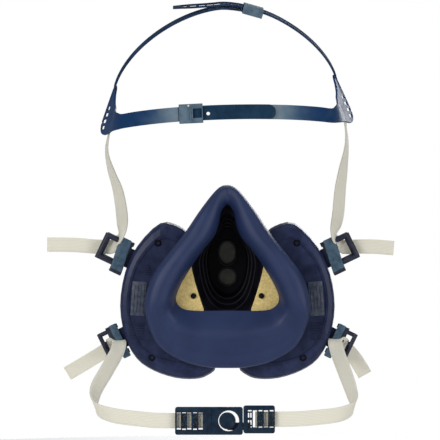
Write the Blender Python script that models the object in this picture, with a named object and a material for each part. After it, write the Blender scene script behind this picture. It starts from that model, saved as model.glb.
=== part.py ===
"""Painter's half-mask respirator with its harness, +Z up, metres.

The wearer looks along +Y, so the face is at -Y. The origin is where the face meets the seal. The left of
every name is at -X."""

import math

import bmesh
import bpy
from mathutils import Matrix, Vector

# ------------------------------------------------------------ driving dimensions
MASK_WIDTH = 0.1550         # across both filter housings
MASK_HEIGHT = 0.1400        # nose peak to the bottom of the housings
SEAL_WALL = 0.0020
SEAL_BASE_Y = 0.0127        # where the seal lands on the frame plate
NOSE_CREST_Y = 0.0000
CHEEK_CREST_Y = -0.0120
CHIN_CREST_Y = -0.0040
LIP_Y = 0.0065
RIM_INSET = 0.0070          # from the seal's outer edge in to its crest
GAP = 0.0004                # between pieces that touch

PLATE_WALL = 0.0024         # the frame plate, which carries the seal
DUCT_WALL = 0.0018
DUCT_END_Y = 0.0500         # rear face of the wall with the exhalation ports
UPPER_PORT = (0.0060, 0.0080)   # half width and half height
UPPER_PORT_Z = 0.0203
LOWER_PORT_RADIUS = 0.0058
LOWER_PORT_Z = 0.0027

HOUSING_WALL = 0.0018
HOUSING_DEPTH = 0.0300      # rear face to front rim
HOUSING_ROLL = 0.0070       # how far the outer edge rolls forward
COVER_DEPTH = 0.0060
FILTER_CLEARANCE = 0.10     # share of the way in from the wall that the filters keep
GRILLE_RINGS = 4
GRILLE_START = 0.24         # shares of the way from the cover's heart to its edge
GRILLE_PITCH = 0.14
GRILLE_SLOT = 0.08
POINTS_PER_SLOT = 4
SEAT_PORT_RADIUS = 0.0070
PIN_RADIUS = 0.0012

BAR_RADIUS = 0.0016         # the bars that the buckles turn on
BAR_CLEARANCE = 0.0003
WEB_REACH = 0.0086          # from the bar's axis into the housing's wall
BUCKLE_LENGTH = 0.0233
BUCKLE_Y = 0.0260
KNUCKLE_WALL = 0.0015
KNUCKLE_LENGTH = 0.0032
LOOP_REACH = 0.0180
LOWER_LOOP_REACH = 0.0125
LOOP_BAR = 0.0036
LOOP_THICKNESS = 0.0024

WEB_WIDTH = 0.0105          # elastic webbing
WEB_THICKNESS = 0.0013

CRADLE_ROLL = math.radians(-2.8)
CRADLE_ORIGIN = Vector((-0.0004, -0.0600, 0.1080))
CRADLE_HALF_WIDTH = 0.0868
ARM_WIDTH = 0.0098
ARM_THICKNESS = 0.0016
ARM_STATIONS = 9
CRADLE_BACK_Y = -0.0670     # back arms, behind the ears
BACK_ARM_Z = 0.0052
CROWN_HEIGHT = 0.0818
CROWN_ROUNDNESS = 1.2       # 1 is an ellipse, more is more pointed
CROWN_FOOT_Y = -0.0020      # where the crown arms leave the ears
CROWN_FOOT_Z = 0.0260
CROWN_LEAN_Y = -0.0190      # top of the crown arms, behind the ears
BACK_TAIL_X = 0.0345        # end of the left half's back arm
BACK_KEEPER_X = -0.0262     # middle of the right half's back keeper
CROWN_KEEPER_SHARE = 0.590  # middle of the left half's crown keeper, as a share of the crown loop
CROWN_TAIL_SHARE = 0.320    # end of the right half's crown arm
CROWN_TIP_LIFT = 0.0060     # how far that end stands off the loop
CROWN_LIFT_SHARE = 0.430    # where it starts to
CROWN_GAIN = 0.0034         # how far the right half's crown arm lies outside the left half's
OVERLAP_GAP = 0.0009
KEEPER_WALL = 0.0016
KEEPER_LENGTH = 0.0165
KEEPER_PLAY = 0.0015
EAR_THICKNESS = 0.0018
EAR_LEAN = 0.32
EAR_FLARE = 0.26
EAR_SLOTS = 3
EAR_SLOT_Y = 0.0020
EAR_OUTLINE = [
    (0.0080, -0.0010), (0.0105, 0.0080), (0.0045, 0.0280), (-0.0060, 0.0330), (-0.0110, 0.0290),
    (-0.0115, 0.0190), (-0.0150, 0.0155), (-0.0190, 0.0149), (-0.0190, 0.0041), (-0.0060, -0.0010),
]

CLASP_Y = -0.0700
CLASP_Z = -0.0944
CLASP_HEIGHT = 0.0192
CLASP_THICKNESS = 0.0026
RING_PLATE_ENDS = (-0.0365, 0.0104)
RING_X = 0.0006
RING_RADIUS = 0.0072
RING_LADDER_X = (-0.0339, -0.0267, -0.0188)
HOOK_PLATE_ENDS = (0.0108, 0.0326)
HOOK_RISE = 0.0010          # how far the hook plate stands above the ring plate
HOOK_LADDER_X = (0.0188, 0.0264)
HOOK_CLEARANCE = 0.0004
HOOK_STEP = 0.0050
DISC_X = -0.0003
DISC_RADIUS = 0.0058
TONGUE_HEIGHT = 0.0052
TONGUE_DROP = 0.0040
LADDER_SLOT = 0.0030
LADDER_HEIGHT = 0.0116

COLOURS = {
    "seal_rubber": ((0.030, 0.045, 0.120), 0.55),
    "frame_plastic": ((0.012, 0.013, 0.020), 0.45),
    "housing_plastic": ((0.022, 0.026, 0.060), 0.35),
    "valve_silicone": ((0.700, 0.520, 0.160), 0.50),
    "diaphragm_silicone": ((0.140, 0.135, 0.105), 0.50),
    "filter_felt": ((0.720, 0.690, 0.600), 0.90),
    "carbon": ((0.010, 0.010, 0.011), 0.80),
    "buckle_plastic": ((0.045, 0.105, 0.175), 0.35),
    "cradle_plastic": ((0.030, 0.100, 0.200), 0.35),
    "elastic": ((0.720, 0.690, 0.600), 0.85),
}

SIDES = {"left": -1.0, "right": 1.0}


# ------------------------------------------------------------ helpers
def clear_scene():
    for thing in list(bpy.data.objects):
        bpy.data.objects.remove(thing, do_unlink=True)


def material(name):
    found = bpy.data.materials.get(name)
    if found:
        return found
    colour, roughness = COLOURS[name]
    made = bpy.data.materials.new(name)
    made.use_nodes = True
    shader = made.node_tree.nodes["Principled BSDF"]
    shader.inputs["Base Color"].default_value = (*colour, 1.0)
    shader.inputs["Roughness"].default_value = roughness
    shader.inputs["Metallic"].default_value = 0.0
    return made


def make_object(name, mesh_data, slot, parent=None):
    """One sub-part from a bmesh, with outward faces and its own material."""
    bmesh.ops.recalc_face_normals(mesh_data, faces=mesh_data.faces)
    mesh = bpy.data.meshes.new(name)
    mesh_data.to_mesh(mesh)
    mesh_data.free()
    mesh.shade_smooth()
    mesh.set_sharp_from_angle(angle=math.radians(35))
    thing = bpy.data.objects.new(name, mesh)
    bpy.context.collection.objects.link(thing)
    thing.data.materials.append(material(slot))
    if parent:
        thing.parent = parent
    return thing


def make_cutter(name, mesh_data, parent=None):
    cutter = make_object(name, mesh_data, "frame_plastic", parent)
    cutter.hide_render = True
    cutter.display_type = "WIRE"
    return cutter


def boolean(target, other, operation):
    step = target.modifiers.new(other.name, "BOOLEAN")
    step.object = other
    step.operation = operation
    step.solver = "EXACT"


def cut(target, cutter):
    boolean(target, cutter, "DIFFERENCE")


def join(target, other):
    boolean(target, other, "UNION")


def empty(name, location, parent=None):
    thing = bpy.data.objects.new(name, None)
    thing.location = location
    bpy.context.collection.objects.link(thing)
    thing.parent = parent
    return thing


def loft(rings, closed=False):
    """Skin over rings with the same number of points: capped at both ends, or closed on itself."""
    mesh = bmesh.new()
    rows = [[mesh.verts.new(point) for point in ring] for ring in rings]
    count = len(rows[0])
    pairs = list(zip(rows, rows[1:]))
    if closed:
        pairs.append((rows[-1], rows[0]))
    for low, high in pairs:
        for i in range(count):
            j = (i + 1) % count
            mesh.faces.new((low[i], low[j], high[j], high[i]))
    if not closed:
        mesh.faces.new(rows[0])
        mesh.faces.new(rows[-1])
    return mesh


def spline(points, steps, closed=False):
    """Points on a smooth curve through the control points, steps per span."""
    points = [Vector(p) for p in points]
    count = len(points)
    spans = count if closed else count - 1
    made = []
    for i in range(spans):
        if closed:
            a, b, c, d = (points[(i + k) % count] for k in (-1, 0, 1, 2))
        else:
            a, b, c, d = (points[min(max(i + k, 0), count - 1)] for k in (-1, 0, 1, 2))
        for k in range(steps):
            t = k / steps
            made.append(
                0.5 * ((2 * b) + (c - a) * t + (2 * a - 5 * b + 4 * c - d) * t**2
                       + (3 * b - a - 3 * c + d) * t**3)
            )
    if not closed:
        made.append(points[-1])
    return made


def box(size, centre=(0, 0, 0), turn=None):
    mesh = bmesh.new()
    bmesh.ops.create_cube(mesh, size=1.0)
    bmesh.ops.scale(mesh, vec=size, verts=mesh.verts)
    if turn:
        bmesh.ops.rotate(mesh, matrix=turn, verts=mesh.verts)
    bmesh.ops.translate(mesh, vec=centre, verts=mesh.verts)
    return mesh


def rod(radius, length, centre, axis, sides=20):
    """A cylinder centred on a point, along an axis."""
    mesh = bmesh.new()
    bmesh.ops.create_cone(
        mesh, cap_ends=True, segments=sides, radius1=radius, radius2=radius, depth=length
    )
    turn = Vector((0, 0, 1)).rotation_difference(Vector(axis)).to_matrix()
    bmesh.ops.rotate(mesh, matrix=turn, verts=mesh.verts)
    bmesh.ops.translate(mesh, vec=centre, verts=mesh.verts)
    return mesh


def prism(outline, low_y, high_y):
    """An outline of (x, z) points, made solid between two values of y."""
    return loft([[(x, y, z) for x, z in outline] for y in (low_y, high_y)])


def ellipse(half_width, half_height, centre, count=28):
    return [
        (centre[0] + half_width * math.cos(2 * math.pi * k / count),
         centre[1] + half_height * math.sin(2 * math.pi * k / count))
        for k in range(count)
    ]


def ribbon(stations, width, thickness, steps=5):
    """A flat strap through (centre, width direction) stations: one rectangle along a smooth curve."""
    centres = spline([s[0] for s in stations], steps)
    across = spline([Vector(s[1]).normalized() for s in stations], steps)
    rings = []
    for i, centre in enumerate(centres):
        ahead = centres[min(i + 1, len(centres) - 1)] - centres[max(i - 1, 0)]
        ahead.normalize()
        side = across[i] - ahead * across[i].dot(ahead)
        side.normalize()
        up = ahead.cross(side)
        half = side * width / 2
        rise = up * thickness / 2
        rings.append([
            centre - half - rise, centre + half - rise, centre + half + rise, centre - half + rise,
        ])
    return loft(rings)


def bevel(target, width, segments=1):
    step = target.modifiers.new("softened_edges", "BEVEL")
    step.width = width
    step.segments = segments
    step.limit_method = "ANGLE"
    step.angle_limit = math.radians(40)


# ------------------------------------------------------------ outlines of the mask, seen from behind
HALF = MASK_WIDTH / 2
TALL = MASK_HEIGHT

# From the nose peak down the left side to the chin, as shares of the half width and the height.
SEAL_EDGE = [
    (0.000, 0.4986), (-0.098, 0.4760), (-0.244, 0.3764), (-0.405, 0.2450), (-0.563, 0.1364),
    (-0.700, 0.0250), (-0.769, -0.1070), (-0.742, -0.2214), (-0.632, -0.3357), (-0.426, -0.4070),
    (-0.206, -0.4400), (0.000, -0.4457),
]
SEAL_OPENING = [
    (0.000, 0.3957), (-0.058, 0.3600), (-0.080, 0.3000), (-0.124, 0.2357), (-0.226, 0.1643),
    (-0.352, 0.0643), (-0.455, -0.0380), (-0.478, -0.0990), (-0.413, -0.1400), (-0.284, -0.1500),
    (-0.142, -0.1500), (0.000, -0.1493),
]
HOUSING_EDGE = [
    (-0.632, 0.3020), (-0.845, 0.1850), (-0.964, 0.0450), (-1.010, -0.1300), (-0.962, -0.2900),
    (-0.852, -0.4040), (-0.690, -0.4670), (-0.485, -0.5040), (-0.300, -0.5090), (-0.185, -0.4900),
    (-0.105, -0.4400), (-0.160, -0.3000), (-0.240, -0.1650), (-0.330, -0.0500), (-0.385, 0.0600),
    (-0.392, 0.1600), (-0.368, 0.2420), (-0.455, 0.2880),
]
DUCT_MOUTH = [
    (0.000, 0.3650), (-0.090, 0.3200), (-0.200, 0.2200), (-0.300, 0.1300), (-0.330, 0.0700),
    (-0.300, -0.0200), (-0.262, -0.0900), (-0.205, -0.1550), (-0.110, -0.2000), (0.000, -0.2100),
]


def shaped(shares):
    return [(x * HALF, z * TALL) for x, z in shares]


def half_loop(shares, steps):
    """The left half of a loop, from its top to its bottom, smoothed, as (x, z)."""
    half = shaped(shares)
    mirrored = [(-half[1][0], half[1][1])] + half + [(-half[-2][0], half[-2][1])]
    made = spline([(x, z, 0) for x, z in mirrored], steps)
    return [(p.x, p.y) for p in made[steps : -steps]]


def whole_loop(shares, steps):
    left = half_loop(shares, steps)
    right = [(-x, z) for x, z in left[1:-1]]
    return left + right[::-1]


def side_loop(shares, steps, side):
    """A closed outline on one side of the mask, as (x, z)."""
    made = spline([(x, z, 0) for x, z in shaped(shares)], steps, closed=True)
    return [(-side * p.x, p.y) for p in made]


def inset(outline, distance):
    """Every point moved inwards by a distance, square to the outline."""
    count = len(outline)
    area = sum(
        outline[i][0] * outline[(i + 1) % count][1] - outline[(i + 1) % count][0] * outline[i][1]
        for i in range(count)
    )
    turn = 1 if area > 0 else -1
    made = []
    for i, (x, z) in enumerate(outline):
        ahead = Vector(outline[(i + 1) % count]) - Vector(outline[i - 1])
        ahead.normalize()
        made.append((x - turn * ahead.y * distance, z + turn * ahead.x * distance))
    return made


def towards(outline, centre, share):
    return [(x + (centre[0] - x) * share, z + (centre[1] - z) * share) for x, z in outline]


# ------------------------------------------------------------ face seal
SEAL_STEPS = 2


def seal_section(edge, lip, along):
    """The seal's outer skin at one place round the face, as (distance in, y) from its base to its lip."""
    reach = math.dist(edge, lip)
    side = math.sin(math.pi * along) ** 1.2
    end = NOSE_CREST_Y + (CHIN_CREST_Y - NOSE_CREST_Y) * along
    crest = end + (CHEEK_CREST_Y - end) * side
    rim = min(RIM_INSET, 0.36 * reach)
    fall = LIP_Y - crest
    return [
        (0.0, SEAL_BASE_Y),
        (0.0, SEAL_BASE_Y * 0.55 + crest * 0.45),
        (0.22 * rim, crest + 0.16 * (SEAL_BASE_Y - crest)),
        (rim, crest),
        (rim + 0.22 * (reach - rim), crest + 0.30 * fall),
        (rim + 0.50 * (reach - rim), crest + 0.48 * fall),
        (rim + 0.80 * (reach - rim), crest + 0.76 * fall),
        (reach, LIP_Y),
    ]


def thicken(section, wall):
    """A closed wall from a section line, laid on its inner side."""
    line = [Vector(p) for p in section]
    inner = []
    for i, point in enumerate(line):
        ahead = line[min(i + 1, len(line) - 1)] - line[max(i - 1, 0)]
        ahead.normalize()
        inner.append(point + Vector((-ahead.y, ahead.x)) * wall)
    inner[0] = line[0] + Vector((wall, 0))
    return line + inner[::-1]


def make_face_seal():
    edge = whole_loop(SEAL_EDGE, SEAL_STEPS)
    lip = whole_loop(SEAL_OPENING, SEAL_STEPS)
    half_count = len(edge) // 2
    rings = []
    for i, (outer, inner) in enumerate(zip(edge, lip)):
        along = i / half_count if i <= half_count else 2 - i / half_count
        inward = (Vector(inner) - Vector(outer)).normalized()
        rings.append([
            (outer[0] + inward.x * r, y, outer[1] + inward.y * r)
            for r, y in thicken(seal_section(outer, inner, along), SEAL_WALL)
        ])
    return make_object("face_seal", loft(rings, closed=True), "seal_rubber")


# ------------------------------------------------------------ breathing cup with its ports
PLATE_REAR_Y = SEAL_BASE_Y + GAP
PLATE_FRONT_Y = PLATE_REAR_Y + PLATE_WALL
DUCT_END = [(0.0140, 0.0380), (0.0140, -0.0100)]


def duct_end_outline(count):
    """A tall oval round both ports, with its points in the mouth's order: top, left, bottom, right."""
    middle = (DUCT_END[0][1] + DUCT_END[1][1]) / 2
    half_height = (DUCT_END[0][1] - DUCT_END[1][1]) / 2
    made = []
    for k in range(count):
        angle = math.pi / 2 + 2 * math.pi * k / count
        made.append((DUCT_END[0][0] * math.cos(angle), middle + half_height * math.sin(angle)))
    return made


def duct_rings(extra):
    """The duct from its mouth to its end wall, grown outwards by extra."""
    mouth = whole_loop(DUCT_MOUTH, 2)
    end = duct_end_outline(len(mouth))
    rings = []
    for share, y in ((0.0, PLATE_REAR_Y), (0.50, 0.0225), (0.80, 0.0340), (1.0, DUCT_END_Y)):
        loop = [
            (m[0] + (e[0] - m[0]) * share, m[1] + (e[1] - m[1]) * share) for m, e in zip(mouth, end)
        ]
        grown = inset(loop, -extra)
        rings.append([(x, y, z) for x, z in grown])
    return rings


def make_breathing_cup():
    plate_edge = inset(whole_loop(SEAL_EDGE, 3), SEAL_WALL + GAP)
    cup = make_object("breathing_cup", prism(plate_edge, PLATE_REAR_Y, PLATE_FRONT_Y), "frame_plastic")
    shell = duct_rings(DUCT_WALL)
    shell[-1] = [(x, DUCT_END_Y + DUCT_WALL, z) for x, _, z in shell[-1]]
    shell[0] = [(x, PLATE_REAR_Y + GAP, z) for x, _, z in shell[0]]
    join(cup, make_cutter("duct_shell", loft(shell)))
    hollow = duct_rings(0.0)
    hollow[0] = [(x, PLATE_REAR_Y - PLATE_WALL, z) for x, _, z in hollow[0]]
    cut(cup, make_cutter("duct_hollow", loft(hollow)))
    upper = ellipse(*UPPER_PORT, (0, UPPER_PORT_Z))
    lower = ellipse(LOWER_PORT_RADIUS, LOWER_PORT_RADIUS, (0, LOWER_PORT_Z))
    for name, outline in (("upper_port", upper), ("lower_port", lower)):
        cut(cup, make_cutter(name, prism(outline, DUCT_END_Y - 0.004, DUCT_END_Y + 0.006)))
    for side_name, side in SIDES.items():
        port = rod(SEAT_PORT_RADIUS, 0.012, (side * PORT_X, PLATE_REAR_Y, PORT_Z), (0, 1, 0), 24)
        cut(cup, make_cutter(f"seat_port_{side_name}", port))
        hole = rod(PIN_RADIUS + GAP, 0.012, (side * PIN_X, PLATE_REAR_Y, PIN_Z), (0, 1, 0), 12)
        cut(cup, make_cutter(f"pin_hole_{side_name}", hole))
    return cup


# ------------------------------------------------------------ inhalation valves
PORT_X = 0.4452 * HALF
PORT_Z = -0.0786 * TALL
PIN_X = 0.3174 * HALF
PIN_Z = -0.0743 * TALL
FLAP_THICKNESS = 0.0010
FLAP_Y = PLATE_REAR_Y - GAP - FLAP_THICKNESS
FLAP_LIFT = 0.0009          # from the flap up to the pin's head
PIN_HEAD_RADIUS = 0.0021
FLAP_EDGE = [
    (-0.3510, 0.1000), (-0.4258, 0.0714), (-0.5161, 0.0000), (-0.5677, -0.0857), (-0.5419, -0.1500),
    (-0.4387, -0.1786), (-0.3097, -0.1800), (-0.2219, -0.1607), (-0.2516, -0.0964), (-0.2942, -0.0214),
    (-0.3290, 0.0536),
]


def make_inhalation_valves():
    for side_name, side in SIDES.items():
        sheet = prism(side_loop(FLAP_EDGE, 3, side), FLAP_Y, FLAP_Y + FLAP_THICKNESS)
        flap = make_object(f"inhalation_flap_{side_name}", sheet, "valve_silicone")
        hole = rod(PIN_RADIUS + 2 * GAP, 0.006, (side * PIN_X, FLAP_Y, PIN_Z), (0, 1, 0), 12)
        cut(flap, make_cutter(f"flap_hole_{side_name}", hole))
        head_y = FLAP_Y - FLAP_LIFT
        profile = [
            (0.0, head_y - 0.0012), (PIN_HEAD_RADIUS * 0.7, head_y - 0.0010),
            (PIN_HEAD_RADIUS, head_y - 0.0003), (PIN_HEAD_RADIUS, head_y), (PIN_RADIUS, head_y),
            (PIN_RADIUS, PLATE_FRONT_Y + 0.0003), (0.0, PLATE_FRONT_Y + 0.0003),
        ]
        rings = [
            [(side * PIN_X + max(r, 0.00005) * math.cos(a), y, PIN_Z + max(r, 0.00005) * math.sin(a))
             for a in (2 * math.pi * k / 12 for k in range(12))]
            for r, y in profile
        ]
        make_object(f"inhalation_pin_{side_name}", loft(rings), "frame_plastic")


# ------------------------------------------------------------ filter housings and what they hold
HOUSING_REAR_Y = PLATE_FRONT_Y + GAP
HOUSING_RIM_Y = HOUSING_REAR_Y + HOUSING_DEPTH
HOUSING_HEART = (-0.62 * HALF, -0.09 * TALL)
HOUSING_STEPS = 3


def housing_ring(side, share, y):
    heart = (-side * HOUSING_HEART[0], HOUSING_HEART[1])
    outline = towards(side_loop(HOUSING_EDGE, HOUSING_STEPS, side), heart, share)
    return [(x, y, z) for x, z in outline]


def wall_share():
    """The wall as a share of the way from the housing's edge to its heart."""
    return HOUSING_WALL / (0.30 * HALF)


def make_filter_housing(side_name, side):
    rear, rim, wall = HOUSING_REAR_Y, HOUSING_RIM_Y, wall_share()
    outer = [(0.50, 0.0), (0.16, 0.0), (0.07, 0.15), (0.02, 0.45), (0.0, 1.0)]
    rings = [housing_ring(side, share, rear + HOUSING_ROLL * drop) for share, drop in outer]
    rings.append(housing_ring(side, 0.0, rim))
    rings.append(housing_ring(side, wall, rim))
    inner = [(wall, 1.0), (0.07 + wall, 0.15), (0.16 + wall, 0.0), (0.50, 0.0)]
    rings += [housing_ring(side, share, rear + HOUSING_WALL + HOUSING_ROLL * drop) for share, drop in inner]
    housing = make_object(f"filter_housing_{side_name}", loft(rings), "housing_plastic")
    port = rod(SEAT_PORT_RADIUS, 0.010, (side * PORT_X, rear, PORT_Z), (0, 1, 0), 24)
    cut(housing, make_cutter(f"housing_port_{side_name}", port))
    for buckle_name, spot in BUCKLES.items():
        lug = buckle_frame(f"{buckle_name}_lug_{side_name}", spot, side)
        web = make_cutter(f"{buckle_name}_web_{side_name}", lug_web(), lug)
        bar = make_cutter(
            f"{buckle_name}_bar_{side_name}", rod(BAR_RADIUS, BUCKLE_LENGTH, (0, 0, 0), (0, 0, 1), 16), lug
        )
        join(housing, web)
        join(housing, bar)
    return housing


def make_filter_insides(side_name, side):
    rear = HOUSING_REAR_Y + HOUSING_WALL
    low = rear + HOUSING_ROLL + 0.0010
    middle = low + 0.0110
    high = HOUSING_RIM_Y - 0.0006
    share = wall_share() + FILTER_CLEARANCE
    screen = prism(towards(flat_side(side), heart_of(side), share + 0.20), rear + GAP, rear + 0.0024)
    make_object(f"filter_screen_{side_name}", screen, "frame_plastic")
    bed = [housing_ring(side, share, low), housing_ring(side, share, middle)]
    make_object(f"carbon_bed_{side_name}", loft(bed), "carbon")
    pad = [
        housing_ring(side, share, middle + GAP), housing_ring(side, share, high - 0.0015),
        housing_ring(side, share + 0.03, high),
    ]
    make_object(f"particle_filter_{side_name}", loft(pad), "filter_felt")


def flat_side(side):
    return side_loop(HOUSING_EDGE, HOUSING_STEPS, side)


def heart_of(side):
    return (-side * HOUSING_HEART[0], HOUSING_HEART[1])


def make_filter_cover(side_name, side):
    """The front cover: a dished lid on the housing's rim, pierced by rings of slots round a flat boss."""
    low = HOUSING_RIM_Y + GAP
    high = low + COVER_DEPTH
    wall = wall_share()
    shoulder = low + 0.75 * COVER_DEPTH
    thin = HOUSING_WALL * 0.9
    profile = [
        (0.75, high), (0.12, high), (0.05, shoulder), (0.0, low + 0.30 * COVER_DEPTH), (0.0, low),
        (wall, low), (0.05 + wall * 0.8, shoulder - thin * 0.7), (0.12 + wall * 0.6, high - thin),
        (0.75, high - thin),
    ]
    rings = [housing_ring(side, share, y) for share, y in profile]
    cover = make_object(f"filter_cover_{side_name}", loft(rings), "housing_plastic")
    for k in range(GRILLE_RINGS):
        inner = GRILLE_START + GRILLE_PITCH * k
        outer = inner + GRILLE_SLOT
        cut(cover, make_cutter(f"grille_{side_name}_{k}", grille_slots(side, 1 - outer, 1 - inner, high)))
    return cover


def grille_slots(side, from_share, to_share, high):
    """Slots that follow the cover's edge, as separate blocks with ribs left between them."""
    edge = side_loop(HOUSING_EDGE, 2, side)
    outline = [((x + u) / 2, (z + w) / 2) for (x, z), (u, w) in zip(edge, edge[1:] + edge[:1])]
    far = towards(outline, heart_of(side), from_share)
    near = towards(outline, heart_of(side), to_share)
    count = len(outline)
    mesh = bmesh.new()
    for start in range(0, count, POINTS_PER_SLOT):
        picks = [(start + k) % count for k in range(POINTS_PER_SLOT - 1)]
        loop = [far[i] for i in picks] + [near[i] for i in reversed(picks)]
        rows = [[mesh.verts.new((x, y, z)) for x, z in loop] for y in (high - 0.0035, high + 0.0035)]
        for i in range(len(loop)):
            j = (i + 1) % len(loop)
            mesh.faces.new((rows[0][i], rows[0][j], rows[1][j], rows[1][i]))
        mesh.faces.new(rows[0])
        mesh.faces.new(rows[1])
    return mesh


# ------------------------------------------------------------ exhalation valve and its cover
DUCT_FRONT_Y = DUCT_END_Y + DUCT_WALL
FLAP_TOP_Z = 0.0330
FLAP_BOTTOM_Z = -0.0050
FLAP_HALF = 0.0090          # half the flap's width
FLAP_ROUND = 0.0080         # height of its rounded lower end
DIAPHRAGM_THICKNESS = 0.0012
VALVE_BAR_HEIGHT = 0.0034
VALVE_BAR_DEPTH = 0.0022


def make_exhalation_valve():
    height = FLAP_TOP_Z - FLAP_BOTTOM_Z
    low = DUCT_FRONT_Y + GAP
    round_z = FLAP_ROUND - height
    outline = [(-FLAP_HALF, 0.0), (FLAP_HALF, 0.0), (FLAP_HALF, round_z)]
    outline += [(FLAP_HALF * math.cos(a), round_z - FLAP_ROUND * math.sin(a))
                for a in (math.pi * k / 8 for k in range(1, 8))]
    outline += [(-FLAP_HALF, round_z)]
    top = empty("exhalation_flap_axis", (0, low, FLAP_TOP_Z))
    make_object("exhalation_flap", prism(outline, 0.0, DIAPHRAGM_THICKNESS), "diaphragm_silicone", top)
    bar_middle = (0, low + VALVE_BAR_DEPTH / 2, FLAP_TOP_Z + 2 * GAP + VALVE_BAR_HEIGHT / 2)
    bar = box((2 * FLAP_HALF + 0.0020, VALVE_BAR_DEPTH, VALVE_BAR_HEIGHT), bar_middle)
    bar_object = make_object("exhalation_flap_bar", bar, "frame_plastic")
    bevel(bar_object, 0.0004)


SHIELD_EDGE = [
    (0.000, 0.4300), (-0.105, 0.3900), (-0.200, 0.3100), (-0.285, 0.2000), (-0.300, 0.0600),
    (-0.248, -0.0900), (-0.168, -0.2400), (-0.112, -0.3500), (-0.065, -0.3950), (0.000, -0.4080),
]
SHIELD_REAR_Y = 0.0250
SHIELD_FRONT_Y = 0.0700
SHIELD_WALL = 0.0018
LOUVRES = 6


def make_exhalation_cover():
    """A deep shield over the duct between the housings, open behind, with louvres that face down."""
    loop = whole_loop(SHIELD_EDGE, 3)
    middle = (0.0, 0.03 * TALL)
    depth = SHIELD_FRONT_Y - SHIELD_REAR_Y

    def ring(share, part):
        return [(x, SHIELD_REAR_Y + depth * part, z) for x, z in towards(loop, middle, share)]

    thin = SHIELD_WALL / depth
    profile = [
        (0.90, 1.0), (0.50, 1.0), (0.30, 0.96), (0.17, 0.84), (0.10, 0.62), (0.04, 0.30), (0.0, 0.0),
        (0.09, 0.0), (0.13, 0.30), (0.19, 0.62), (0.26, 0.84 - thin), (0.36, 0.96 - thin),
        (0.50, 1.0 - thin), (0.90, 1.0 - thin),
    ]
    rings = [ring(share, part) for share, part in profile]
    cover = make_object("exhalation_cover", loft(rings), "housing_plastic")
    for k in range(LOUVRES):
        z = -0.022 + 0.0072 * k
        width = 0.0200 - 0.0004 * abs(k - 3)
        tilt = Matrix.Rotation(math.radians(-28), 3, "X")
        slot = box((width, 0.016, 0.0030), (0, SHIELD_FRONT_Y - 0.001, z), tilt)
        cut(cover, make_cutter(f"louvre_{k}", slot))
    return cover


# ------------------------------------------------------------ buckles and the bars they turn on
# Where each bar's middle is, as shares of the half width and the height, and its lean from upright.
BUCKLES = {
    "upper": (-0.9740, 0.1320, math.radians(25.5)),
    "lower": (-1.0200, -0.3050, math.radians(-26.0)),
}


def buckle_frame(name, spot, side):
    """An empty whose Z runs along the bar, X points away from the mask and -Y faces the wearer."""
    x, z, lean = spot
    frame = empty(name, (-side * x * HALF, BUCKLE_Y, z * TALL))
    frame.rotation_euler = (0, -lean, 0 if side > 0 else math.pi)
    return frame


def lug_web():
    """The web that carries the bar, from inside the housing's wall out to the bar."""
    return box((WEB_REACH, 0.0026, BUCKLE_LENGTH * 0.62), (-WEB_REACH / 2, 0, 0))


def make_buckle(name, spot, side, reach):
    """A clip with two knuckles round the bar, a plate behind them and an open loop for the elastic."""
    rear = -side                # towards the wearer, in the buckle's own frame
    frame = buckle_frame(f"{name}_axis", spot, side)
    knuckle = BAR_RADIUS + BAR_CLEARANCE + KNUCKLE_WALL
    body = make_object(name, rod(knuckle, BUCKLE_LENGTH, (0, 0, 0), (0, 0, 1), 20), "buckle_plastic", frame)
    plate_y = rear * (knuckle + 0.0002)
    plate = box((0.0084, 0.0020, BUCKLE_LENGTH), (0.0014, plate_y, 0))
    join(body, make_cutter(f"{name}_plate", plate, frame))
    loop_low = 0.0030
    middle = (loop_low + reach) / 2
    slope = Matrix.Rotation(side * math.radians(8), 3, "Z")
    loop = box((reach - loop_low, LOOP_THICKNESS, 0.0195), (0, 0, 0), slope)
    bmesh.ops.translate(loop, vec=(middle, rear * 0.0018, 0.0004), verts=loop.verts)
    join(body, make_cutter(f"{name}_loop", loop, frame))
    window_low = 0.0056
    window_high = reach - LOOP_BAR
    window = box((window_high - window_low, 0.030, 0.0120), ((window_low + window_high) / 2, 0, 0.0010))
    cut(body, make_cutter(f"{name}_window", window, frame))
    mouth = box((0.0050, 0.030, 0.0120), (window_low + 0.0025, 0, 0.0090))
    cut(body, make_cutter(f"{name}_mouth", mouth, frame))
    bore = rod(BAR_RADIUS + BAR_CLEARANCE, BUCKLE_LENGTH * 1.2, (0, 0, 0), (0, 0, 1), 16)
    cut(body, make_cutter(f"{name}_bore", bore, frame))
    notch_length = BUCKLE_LENGTH - 2 * KNUCKLE_LENGTH
    notch = box((0.0200, 0.0072, notch_length), (-0.0070, -rear * 0.0012, 0))
    cut(body, make_cutter(f"{name}_notch", notch, frame))
    return body


def make_buckles():
    for side_name, side in SIDES.items():
        for row, spot in BUCKLES.items():
            reach = LOOP_REACH if row == "upper" else LOWER_LOOP_REACH
            make_buckle(f"{row}_buckle_{side_name}", spot, side, reach)


# ------------------------------------------------------------ elastic webs
# Stations are a centre and the direction of the web's width. They suit these sizes, and are carried along
# by the buckles, the ears and the clasp when a size changes.
STATIONS_WIDTH = 0.1550
STATIONS_HEIGHT = 0.1400
STATIONS_CRADLE = 0.0868
STATIONS_CLASP_Z = -0.0944

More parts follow.
